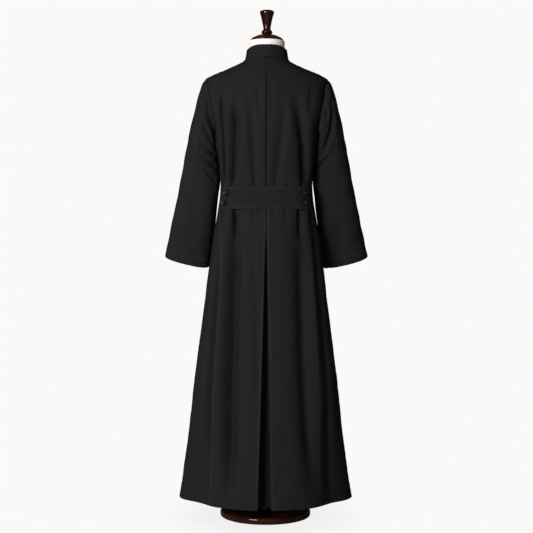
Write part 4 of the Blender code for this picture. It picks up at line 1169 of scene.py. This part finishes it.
def buildStand():
    finialZ = stand["capZ"] + stand["cap"][-1][1] + garment["seamGap"]
    low = stand["foot"][-1][1] + garment["seamGap"]
    high = torso["rows"][0][0] - garment["seamGap"]
    pole, ring = stand["pole"], stand["poleCollar"]
    polePath = ((ring, 0.0), (ring, 0.018), (ring - 0.003, 0.022), (pole, 0.024),
                (pole, high - low - 0.026), (ring, high - low - 0.022), (ring, high - low))
    standFor(turnWood("cap", stand["cap"], stand["capZ"], woodUp), "form_cap")
    standFor(turnWood("finial", stand["finial"], finialZ, woodUp), "form_finial")
    standFor(turnWood("foot", stand["foot"], 0.0, woodFlat, 3), "form_base")
    standFor(turnWood("pole", polePath, low, steel, 1, 30), "form_pole")


buildTorso()
buildStand()
print("dress form and stand ready")

panel = {
    "skirtRows": 236,
    "bodiceRows": 64,
    "shoulderRows": 40,
    "edgeSteps": (0.0, 0.0011, 0.0024, 0.0042, 0.0066),  # closer columns beside a seam
    "width": 0.20,
    "backColumns": 56,
    "sideColumns": 34,
    "frontColumns": 56,
    "turnColumns": 7,
    "returnColumns": 9,
}


def panelHeights():
    skirt = np.linspace(garment["hemZ"], garment["waistZ"], panel["skirtRows"])
    bodice = np.linspace(garment["waistZ"], seamTopZ, panel["bodiceRows"])[1:]
    corners = np.arange(garment["seamCorner"] - 1, -1, -1)
    armhole = armholeZ(2 * math.pi * corners / garment["armholeCorners"])
    z = np.linspace(garment["shoulderZ"], garment["neckZ"], 400)
    ridge = bodyPoints(z, 90.0, False)
    run = runLength(ridge)
    shoulder = np.interp(np.linspace(0, run[-1], panel["shoulderRows"]), run, z)[1:]
    return skirt, np.concatenate([skirt, bodice, armhole, shoulder])


skirtHeights, heights = panelHeights()


def columnShares(columns):
    steps = np.array(panel["edgeSteps"]) / panel["width"]
    middle = np.linspace(steps[-1], 1 - steps[-1], columns)
    return np.concatenate([steps[:-1], middle, 1 - steps[:-1][::-1]])


def pleatGrid(z, side):
    shift, mouth = pleatCurve.at("shift", z), pleatCurve.at("mouth", z)
    depth, reach, radius = pleatCurve.at("depth", z), pleatCurve.at("underlay", z), pleatForm["radius"]
    faceY = bodyRadius(z, np.zeros(z.shape))
    centre = stack(shift + side * (mouth + radius), faceY - radius, z)
    end = stack(shift + side * reach, faceY - depth, z)
    way = unit(end - centre)
    facing = stack(side * way[:, 1], -side * way[:, 0], 0.0)
    start = centre + facing * radius
    lastTurn = np.arctan2(-side * facing[:, 0], facing[:, 1])
    points, normals = [], []
    for share in np.linspace(0, 0.97, panel["returnColumns"]):
        points.append(end + (start - end) * share)
        normals.append(facing)
    for share in np.linspace(0.94, 0.06, panel["turnColumns"]):
        way = stack(-side * np.sin(lastTurn * share), np.cos(lastTurn * share), 0.0)
        points.append(centre + way * radius)
        normals.append(way)
    first = np.degrees(np.arctan2(centre[:, 0], faceY))
    return np.stack(points, axis=1), np.stack(normals, axis=1), first


def buildBack(name, node, side):
    z = heights
    edge = side * (sideEdge(z, "back", 1) - gapAngle(z, sideEdge(z, "back", 1)))
    skirt = z <= garment["waistZ"]
    pleatPoints, pleatNormals, pleatFirst = pleatGrid(z, side)
    first = np.where(skirt, pleatFirst, side * gapAngle(z, 0.0))
    degrees = first[:, None] + (edge - first)[:, None] * columnShares(panel["backColumns"])[None, :]
    zs = np.broadcast_to(z[:, None], degrees.shape)
    away = np.abs(np.radians(degrees - first[:, None])) * bodyRadius(zs, np.radians(degrees))
    calm = np.where(skirt[:, None], ease(away / pleatForm["fade"]), 1.0)
    points, normals, press = bodyCloth(zs, degrees, 0.0, calm)
    edgePress = np.where(skirt[:, None], bell(away, pleatForm["pressHalf"]), 0.0)
    points = np.concatenate([pleatPoints, points], axis=1)
    normals = np.concatenate([pleatNormals, normals], axis=1)
    extra = pleatPoints.shape[1]
    # pressed pleat edges, with a painted highlight
    press = np.where(edgePress > 0.1, edgePress, press)
    press = np.concatenate([np.zeros((len(z), extra)), press], axis=1)
    valid = np.ones(points.shape[:2], bool)
    valid[~skirt, :extra] = False
    stitchHem(z, points[:, extra:], normals[:, extra:])
    return clothPiece(shell(name, points, normals, garment["wall"], press, valid), node, cloth)


def buildUnderlay():
    z, count = skirtHeights, pleatForm["columnCount"]
    half = pleatCurve.at("underlay", z) + pleatForm["lap"]
    x = pleatCurve.at("shift", z)[:, None] + half[:, None] * np.linspace(1, -1, count)[None, :]
    depth = pleatCurve.at("depth", z)
    y = bodyRadius(z, np.zeros(z.shape)) - depth - garment["seamGap"] - pleatForm["under"]
    points = stack(x, y[:, None], z[:, None])
    inside = 1 - np.linspace(-1, 1, count)[None, :] ** 6
    dent = (pleatForm["dent"] * (ripples(points, pleatForm["dentSize"], 31) - 1.2) * inside
            - sewing["stitchGroove"] * bell(z - hemLineZ, sewing["stitchHalf"])[:, None])
    points[..., 1] += np.minimum(dent, 0.0)
    normals = stack(np.zeros(x.shape), 1.0, 0.0)
    # painted shadow of the pleat: darker all over, and darker still towards the wearer's left edge
    shade = -pleatForm["shade"] - pleatForm["shadeMore"] * ease(np.linspace(1.0, -1.6, count))[None, :]
    made = shell("pleatUnderlay", points, normals, garment["wall"], np.broadcast_to(shade, x.shape))
    stitchHem(z, points, normals)
    return clothPiece(made, "pleat_underlay", cloth)


def buildSide(name, node, side):
    corners = np.linspace(garment["seamCorner"], garment["armholeCorners"] - garment["seamCorner"],
                          panel["sideColumns"] + 8)
    steps = np.array(panel["edgeSteps"][:-1]) / panel["width"] * (corners[-1] - corners[0])
    corners = np.concatenate([corners[0] + steps, corners[2:-2], corners[-1] - steps[::-1]])
    turns = 2 * math.pi * corners / garment["armholeCorners"]
    tops = armholeZ(turns) - garment["seamGap"] / 2
    angles = armholeAngle(armholeZ(turns), np.where(np.sin(turns) >= 0, 1, -1))
    share = (angles - angles[0]) / (angles[-1] - angles[0])
    flatTop = 1.14  # above this the rows bend down to the armhole
    flat = heights[heights < flatTop]
    bent = np.linspace(flatTop, seamTopZ, 30)
    z = np.concatenate([flat, bent])
    bend = np.concatenate([np.zeros(len(flat)), (bent - flatTop) / (seamTopZ - flatTop)])
    zs = z[:, None] - (seamTopZ - tops)[None, :] * bend[:, None]
    first, last = seamCurve.at("back", zs), seamCurve.at("front", zs)
    first, last = first + gapAngle(zs, first), last - gapAngle(zs, last)
    degrees = side * (first + (last - first) * share[None, :])
    points, normals, press = bodyCloth(zs, degrees)
    stitchHem(z, points, normals)
    return clothPiece(shell(name, points, normals, garment["wall"], press), node, cloth)


def buildFront(name, node, side):
    z = heights
    front = bodyCurve.at("front", z)
    edge = sideEdge(z, "front", -1)
    edge = edge + gapAngle(z, edge)
    run = np.degrees(lap["run"] / front)
    end = 180.0 + np.degrees((lap["left"] if side > 0 else lap["right"]) / front)
    degrees = edge[:, None] + (end - edge)[:, None] * columnShares(panel["frontColumns"])[None, :]
    climb = run - np.degrees((lap["right"] + lap["clear"]) / front)
    rise = lap["rise"] * ease((degrees - 180.0 + run[:, None]) / climb[:, None]) if side > 0 else 0.0
    zs = np.broadcast_to(z[:, None], degrees.shape)
    points, normals, press = bodyCloth(zs, side * degrees, rise)
    stitchHem(z, points, normals)
    if side > 0:
        stitchRun("frontEdgeStitching", points[:, -6], normals[:, -6])
    return clothPiece(shell(name, points, normals, garment["wall"], press), node, cloth)


backLeft = buildBack("backLeft", "back_left", 1)
backRight = buildBack("backRight", "back_right", -1)
underlay = buildUnderlay()
sideLeft = buildSide("sideLeft", "side_left", 1)
sideRight = buildSide("sideRight", "side_right", -1)
frontLeft = buildFront("frontLeft", "front_left", 1)
frontRight = buildFront("frontRight", "front_right", -1)
print("body and skirt ready")


def buildSleeve(name, node, key):
    side = 1 if key == "left" else -1
    last = len(sleeveForm["rows"]) - 1
    first = np.array([0.0, 0.02, 0.045, 0.08])
    station = np.concatenate([first, np.linspace(0.12, last, sleeveForm["rings"])])[:, None]
    turn = (2 * math.pi * np.arange(garment["armholeCorners"]) / garment["armholeCorners"])[None, :]
    station, turn = np.broadcast_arrays(station, turn)
    points = sleevePoints(station, turn, key)
    ds, dt = sleeveForm["stepStation"], sleeveForm["stepTurn"]
    along = (sleevePoints(np.minimum(station + ds, last), turn, key)
             - sleevePoints(np.maximum(station - ds, 0), turn, key))
    around = sleevePoints(station, turn + dt, key) - sleevePoints(station, turn - dt, key)
    normals = unit(np.cross(along, around))
    z = armholeZ(turn[0])
    edge = armholeAngle(z, np.where(np.sin(turn[0]) >= 0, 1, -1))
    bodySide = bodyNormals(z, side * edge)
    bodySide[..., 0] *= side
    over = (ease(np.cos(turn) + 0.5) * (1 - ease(station / 0.1)))[..., None]
    normals = unit(normals * (1 - over) + bodySide[None, :, :] * over)
    points[..., 0] *= side
    normals[..., 0] *= side
    away, place = seamLines.measure(points)
    groove = -sewing["groove"] * bell(away, sewing["grooveHalf"])
    pucker = sewing["pucker"] * np.sin(2 * math.pi * place / 0.016) * np.exp(-away / 0.014)
    hem = sleeveForm["hemStation"]
    hemRun = (station - hem) * sleeveForm["stationLong"]
    hemDent = (-sewing["stitchGroove"] * bell(hemRun, sewing["stitchHalf"])
               + sewing["hemLayer"] * ease(hemRun / sewing["hemStep"])
               + 0.0003 * np.sin(turn * 37 + 2 * np.sin(turn * 5)) * np.exp(-np.abs(hemRun) / 0.010))
    loose = ease(station / 0.6)
    rough = (1.3 * crumple["wideDepth"] * ripples(points, 0.055, 21 if side > 0 else 22)
             + 1.2 * crumple["fineDepth"] * ripples(points, crumple["fine"], 23, 1.3))
    points = points + normals * (groove + (pucker + rough) * loose + hemDent)[..., None]
    crease = ease(np.maximum(sleevePush(station, turn, key), 0) / sewing["creaseDeep"])
    look = seamShade
    # painted highlight along the cuff and beside the armhole seam, painted shade in the armhole seam and in
    # the creases
    press = (look["cuffTone"] * bell(hemRun, look["cuffHalf"]) - bell(away, look["armholeHalf"])
             + look["armholeLight"] * bell(away - look["armholePlace"], look["armholeLightHalf"])
             - sewing["creasePaintedShade"] * crease)
    made = shell(name, points, normals, garment["wall"], press, closed=True)
    row = np.argmin(np.abs(station[:, 0] - hem))
    ring = np.concatenate([points[row], points[row, :1]])
    stitchRun("sleeveHemStitching", ring, np.concatenate([normals[row], normals[row, :1]]))
    return clothPiece(made, node, sleeveCloth)


sleeveLeft = buildSleeve("sleeveLeft", "sleeve_left", "left")
sleeveRight = buildSleeve("sleeveRight", "sleeve_right", "right")
print("sleeves ready")

collarForm = {
    "columns": ("rise", "half", "back", "front", "drop"),
    "rows": (
        (0.0004, 0.0693, 0.0638, 0.0598, 0.0370),
        (0.0180, 0.0670, 0.0626, 0.0586, 0.0345),
        (0.0389, 0.0648, 0.0615, 0.0574, 0.0320),
    ),
    "sideFall": 0.009,  # how much lower its top edge lies at the sides and front
    "fallStart": 25.0,
    "fallRun": 55.0,
    "lapLift": 0.0030,
    "lapAngle": 125.0,
    "lapFade": 22.0,
    "opening": 0.0012,
    "rowCount": 22,
    "columnCount": 170,
    "edgeStitch": 0.0045,
    "edgeDent": 0.0004,
    "footStitch": 0.0035,
    "footDent": 0.0005,
    "dentHalf": 0.0012,
    "seamDent": 0.0006,
    "seamHalf": 0.0014,
    "ripple": 0.0004,
    "edgeHalf": 0.003,
    "footLight": 0.5,
    "footLightPlace": 0.0045,
    "footLightHalf": 0.0015,
    "footDark": 0.9,
    "footDarkHalf": 0.0018,
}


def buildCollar():
    curve = Curve(collarForm)
    top = collarForm["rows"][-1][0]
    low = collarForm["rows"][0][0]
    rise = np.linspace(low, top, collarForm["rowCount"])[:, None]
    gap = math.degrees(collarForm["opening"] / collarForm["rows"][0][3])
    degrees = np.linspace(-180 + gap, 180 - gap, collarForm["columnCount"])[None, :]
    angle = np.radians(degrees)
    half = curve.at("half", rise)
    depth = np.where(np.cos(angle) > 0, curve.at("back", rise), curve.at("front", rise))
    radius = ((np.sin(angle) / half) ** 2 + (np.cos(angle) / depth) ** 2) ** -0.5
    drop = curve.at("drop", rise) * ((1 - np.cos(angle)) / 2) ** garment["neckDropPower"]
    lapLift = (collarForm["lapLift"] * ease((np.abs(degrees) - collarForm["lapAngle"])
                                            / collarForm["lapFade"]) * (1 - (rise - low) / (top - low)))
    fall = (collarForm["sideFall"] * (rise - low) / (top - low)
            * ease((np.abs(degrees) - collarForm["fallStart"]) / collarForm["fallRun"]))
    points = stack(radius * np.sin(angle), radius * np.cos(angle),
                   garment["neckZ"] + rise + lapLift - drop - fall)
    normals = unit(stack(np.sin(angle) / half, np.cos(angle) / depth, 0.0))
    form = collarForm
    upper = rise - top + form["edgeStitch"]
    lower = rise - low - form["footStitch"]
    dent = (-form["edgeDent"] * bell(upper, form["dentHalf"])
            - form["footDent"] * bell(lower, form["dentHalf"])
            - form["seamDent"] * bell(np.abs(angle) * 0.062, form["seamHalf"])
            + form["ripple"] * ripples(points, 0.040, 41, 1.0))
    points = points + normals * dent[..., None]
    # painted highlight along the collar's top edge and above its foot, painted shade at its foot seam
    light = form["footLight"] * bell(rise - low - form["footLightPlace"], form["footLightHalf"])
    press = np.maximum(bell(rise - top, form["edgeHalf"]), light)
    press = press - form["footDark"] * bell(rise - low, form["footDarkHalf"])
    made = shell("standCollar", points, normals, garment["stiffWall"],
                 np.broadcast_to(press, points.shape[:2]))
    for line in (upper, lower):
        row = np.argmin(np.abs(line[:, 0]))
        stitchRun("collarStitching", points[row], normals[row])
    return clothPiece(made, "collar", beltCloth)


def beltCloths(z, degrees, raised=0.0):
    points, normals = bodyPoints(z, degrees, False), bodyNormals(z, degrees, False)
    return points + normals * (belt["lift"] + garment["stiffWall"] + raised)[..., None], normals


def buildBelt():
    z = np.linspace(belt["lowZ"], belt["highZ"], belt["rows"])[:, None]
    degrees = np.linspace(belt["ends"][0], belt["ends"][1], belt["columns"])[None, :]
    z, degrees = np.broadcast_arrays(z, degrees)
    inner = belt["edgeStitch"]
    lines = np.minimum(np.abs(z - belt["lowZ"] - inner), np.abs(belt["highZ"] - inner - z))
    radius = bodyRadius(z, np.radians(degrees))
    for end in belt["ends"]:
        turnIn = end - math.copysign(belt["boxStitch"], end)
        lines = np.minimum(lines, np.radians(np.abs(degrees - turnIn)) * radius)
        lines = np.minimum(lines, np.abs(np.radians(np.abs(degrees - end)) * radius - inner))
    flat = bodyPoints(z, degrees, False)
    edge = np.minimum(z - belt["lowZ"], belt["highZ"] - z)
    raised = (-belt["stitchDent"] * bell(lines, belt["stitchHalf"]) + 0.00055 * ripples(flat, 0.055, 51, 0.8)
              + belt["edgeRise"] * ease(edge / belt["edgeRun"]) + 0.00012 * ripples(flat, 0.011, 52, 1.0))
    points, normals = beltCloths(z, degrees, raised)
    # pressed, with a painted highlight, along the stitching and along the belt's edges
    press = np.maximum(belt["stitchTone"] * bell(lines, belt["stitchToneHalf"]), bell(edge, belt["edgeHalf"]))
    # painted shade along the stitching across each end, much stronger at the wearer's right end
    for end, tone in zip(belt["ends"], belt["boxTones"]):
        across = np.radians(degrees - end + math.copysign(belt["boxStitch"], end)) * radius
        press = press - tone * bell(across, belt["boxHalf"])
    # painted shadow ring round each button
    for _, _, place, height in belt["buttons"]:
        reach = np.hypot(np.radians(degrees - place) * radius, z - height)
        press = press - belt["ringTone"] * bell(reach - belt["ring"], belt["ringHalf"])
    made = shell("halfBelt", points, normals, garment["stiffWall"], press)
    for height in (belt["lowZ"] + inner, belt["highZ"] - inner):
        row = np.argmin(np.abs(z[:, 0] - height))
        stitchRun("beltStitching", points[row], normals[row])
    rows = slice(2, belt["rows"] - 2)
    for end in belt["ends"]:
        for turnIn in (belt["boxStitch"], math.degrees(inner / belt["endRadius"])):
            column = np.argmin(np.abs(degrees[0] - end + math.copysign(turnIn, end)))
            stitchRun("beltStitching", points[rows, column], normals[rows, column])
    return clothPiece(made, "belt", beltCloth)


collar = buildCollar()
beltPiece = buildBelt()
for group in ("skirtHemStitching", "frontEdgeStitching", "sleeveHemStitching", "collarStitching",
              "beltStitching"):
    sewStitches(group, thread)
print("collar, belt and stitching ready")

button = {
    "radius": 0.0088,
    "thick": 0.0040,
    "shank": 0.0012,
    "shankRadius": 0.0016,
    "sides": 40,
    "rim": 0.0017,
    "dish": 0.0010,
    "hole": 0.00080,
    "holePlace": 0.0021,
    "round": 0.00055,
    "threadRadius": 0.00042,
    "frontTopZ": 1.385,
    "frontPitch": 0.078,
    "frontCount": 16,
}


def chooseFaces(made, way):  # way is 1 for those that face up, -1 for those that face down
    bpy.ops.mesh.select_all(action="DESELECT")
    bpy.ops.object.mode_set(mode="OBJECT")
    for face in made.data.polygons:
        face.select = face.normal.z * way > 0.9
    bpy.ops.object.mode_set(mode="EDIT")


def addCylinder(sides, radius, depth, place, rotation=(0, 0, 0)):
    clearChoice()
    bpy.ops.mesh.primitive_cylinder_add(vertices=sides, radius=radius, depth=depth, location=place,
                                        rotation=rotation)
    return bpy.context.object


def joinAll(parts):
    clearChoice()
    for part in parts:
        part.select_set(True)
    bpy.context.view_layer.objects.active = parts[0]
    bpy.ops.object.join()
    return bpy.context.object


def modelButton():
    thick, reach = button["thick"], button["holePlace"] / 2
    made = addCylinder(button["sides"], button["radius"], thick, (0, 0, thick / 2))
    bpy.ops.object.transform_apply(location=True, rotation=True, scale=True)
    bpy.ops.object.mode_set(mode="EDIT")
    bpy.ops.mesh.select_mode(type="FACE")
    chooseFaces(made, 1)
    bpy.ops.mesh.inset(thickness=button["rim"])
    bpy.ops.mesh.inset(thickness=button["rim"] * 0.5)
    bpy.ops.transform.translate(value=(0, 0, -button["dish"]))
    chooseFaces(made, -1)
    bpy.ops.transform.resize(value=(0.72, 0.72, 1), center_override=(0, 0, 0))
    bpy.ops.object.mode_set(mode="OBJECT")
    drill = joinAll([addCylinder(10, button["hole"] / 2, thick * 3, (x * reach, y * reach, thick / 2))
                     for x in (-1, 1) for y in (-1, 1)])
    clearChoice()
    made.select_set(True)
    bpy.context.view_layer.objects.active = made
    bevel = made.modifiers.new("round", "BEVEL")
    bevel.width, bevel.segments, bevel.limit_method = button["round"], 3, "ANGLE"
    bevel.angle_limit = math.radians(30)
    bpy.ops.object.modifier_apply(modifier="round")
    cut = made.modifiers.new("holes", "BOOLEAN")
    cut.operation, cut.object, cut.solver = "DIFFERENCE", drill, "EXACT"
    bpy.ops.object.modifier_apply(modifier="holes")
    bpy.ops.object.shade_smooth_by_angle(angle=math.radians(40))
    bpy.data.objects.remove(drill)
    made.data.materials.append(horn)
    return made


def modelThread():
    long, height = button["holePlace"], button["thick"] - button["dish"]
    bars = [addCylinder(8, button["threadRadius"], long, (x * long / 2, 0, height), (math.pi / 2, 0, 0))
            for x in (-1, 1)]
    bars.append(addCylinder(12, button["shankRadius"], button["shank"] * 2, (0, 0, -button["shank"] / 2)))
    made = joinAll(bars)
    bpy.ops.object.transform_apply(location=True, rotation=True, scale=True)
    bevel = made.modifiers.new("round", "BEVEL")
    bevel.width, bevel.segments = 0.00016, 2
    bpy.ops.object.modifier_apply(modifier="round")
    bpy.ops.object.shade_smooth_by_angle(angle=math.radians(60))
    made.data.materials.append(thread)
    return made


def placedCopy(model, name, point, normal, spin):
    mesh = model.data.copy()
    turn = Vector(normal).to_track_quat("Z", "Y").to_matrix().to_4x4()
    mesh.transform(Matrix.Translation(Vector(point)) @ turn @ Matrix.Rotation(spin, 4, "Z"))
    return addObject(name, mesh)


def sewButtons():
    model, strand = modelButton(), modelThread()
    places = []
    for sideName, heightName, degrees, z in belt["buttons"]:
        points, normals = beltCloths(np.array([z]), np.array([degrees]), np.zeros(1))
        places.append(("belt_button_%s_%s" % (sideName, heightName), points[0], normals[0]))
    for k in range(button["frontCount"]):
        z = np.array([button["frontTopZ"] - button["frontPitch"] * k])
        points, normals, press = bodyCloth(z, np.array([180.0]), lap["rise"])
        places.append(("front_button_%02d" % (k + 1), points[0], normals[0]))
    threads = []
    for k, (node, point, normal) in enumerate(places):
        lifted, spin = point + normal * button["shank"], 0.15 * math.sin(k * 2.3)
        standFor(placedCopy(model, node.replace("_", ""), lifted, normal, spin), node)
        threads.append(placedCopy(strand, "strand%02d" % k, lifted, normal, spin))
    joined = joinAll(threads)
    joined.name = joined.data.name = "buttonThread"
    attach(joined, "root")
    for made in (model, strand):
        bpy.data.objects.remove(made)


sewButtons()
clearChoice()
print("buttons ready")

studio = {
    "backdrop": (0.956, 0.947, 0.930, 1.0),
    "ambient": 0.15,
    "floorSize": 14.0,
    "floorTone": 0.45,
    "contact": 0.10,  # painted contact shadow: how much darker the floor is under the foot
    "contactReach": 0.42,
    "key": {"energy": 136.0, "size": 1.2, "turn": 31.5, "rise": 12.0, "away": 3.4},
    "fill": {"energy": 6.0, "size": 2.2, "turn": -8.0, "rise": 4.0, "away": 3.6},
    "aim": (0.0, 0.0, 0.85),
}

view = {"place": (-0.0011, 3.8, 0.895), "lens": 80.38, "tilt": 1.493, "roll": 0.19}


def buildStage():
    clearChoice()
    bpy.ops.mesh.primitive_plane_add(size=studio["floorSize"], location=(0, 0, 0))
    floor = bpy.context.object
    floor.name = "floor"
    finish = Finish("paleFloor", {"Roughness": 0.95, "Specular IOR Level": 0.0})
    finish.shader.inputs["Base Color"].default_value = level(studio["floorTone"])
    # painted contact shadow: the floor seen by the camera is darker near the foot
    away = finish.node("ShaderNodeVectorMath", {"operation": "LENGTH"},
                       {0: finish.node("ShaderNodeTexCoord", {}, {}, 3)}, 1)
    near = finish.node("ShaderNodeMapRange", {"interpolation_type": "SMOOTHERSTEP"},
                       {0: away, 1: 0.10, 2: studio["contactReach"], 3: studio["contact"], 4: 0.0})
    shade = finish.blend(near, studio["backdrop"], level(0.0))
    glow = finish.node("ShaderNodeEmission", {}, {0: shade})
    seen = finish.node("ShaderNodeLightPath")
    shaded = Wire(finish, finish.shader.outputs[0])
    mix = finish.node("ShaderNodeMixShader", {}, {0: seen, 1: shaded, 2: glow})
    finish.tree.links.new(mix.socket, finish.tree.nodes["Material Output"].inputs["Surface"])
    floor.data.materials.append(finish.material)
    world = bpy.data.worlds.new("studio")
    world.use_nodes = True
    bpy.context.scene.world = world
    nodes, links = world.node_tree.nodes, world.node_tree.links
    nodes.clear()
    seen, dim = nodes.new("ShaderNodeBackground"), nodes.new("ShaderNodeBackground")
    seen.inputs["Color"].default_value = studio["backdrop"]
    dim.inputs["Color"].default_value = studio["backdrop"]
    dim.inputs["Strength"].default_value = studio["ambient"]
    ray, mix = nodes.new("ShaderNodeLightPath"), nodes.new("ShaderNodeMixShader")
    output = nodes.new("ShaderNodeOutputWorld")
    links.new(ray.outputs["Is Camera Ray"], mix.inputs[0])
    links.new(dim.outputs[0], mix.inputs[1])
    links.new(seen.outputs[0], mix.inputs[2])
    links.new(mix.outputs[0], output.inputs["Surface"])


def softLight(name, lamp):  # turn is towards the wearer's left, seen from straight behind
    data = bpy.data.lights.new(name, "AREA")
    data.shape, data.size, data.energy = "SQUARE", lamp["size"], lamp["energy"]
    made = addObject(name, data)
    turn, rise = math.radians(lamp["turn"]), math.radians(lamp["rise"])
    way = Vector((math.sin(turn) * math.cos(rise), math.cos(turn) * math.cos(rise), math.sin(rise)))
    made.location = Vector(studio["aim"]) + way * lamp["away"]
    made.rotation_euler = way.to_track_quat("Z", "Y").to_euler()


def buildCamera():
    data = bpy.data.cameras.new("camera")
    data.sensor_width, data.lens = 36.0, view["lens"]
    camera = addObject("camera", data)
    tilt = math.radians(view["tilt"])
    look = Vector((0, -math.cos(tilt), -math.sin(tilt)))
    turn = look.to_track_quat("-Z", "Y").to_matrix().to_4x4()
    camera.matrix_world = (Matrix.Translation(Vector(view["place"])) @ turn
                           @ Matrix.Rotation(math.radians(view["roll"]), 4, "Z"))
    bpy.context.scene.camera = camera


buildStage()
softLight("key", studio["key"])
softLight("fill", studio["fill"])
buildCamera()
bpy.context.scene.view_settings.view_transform = "Standard"
print("stage ready")
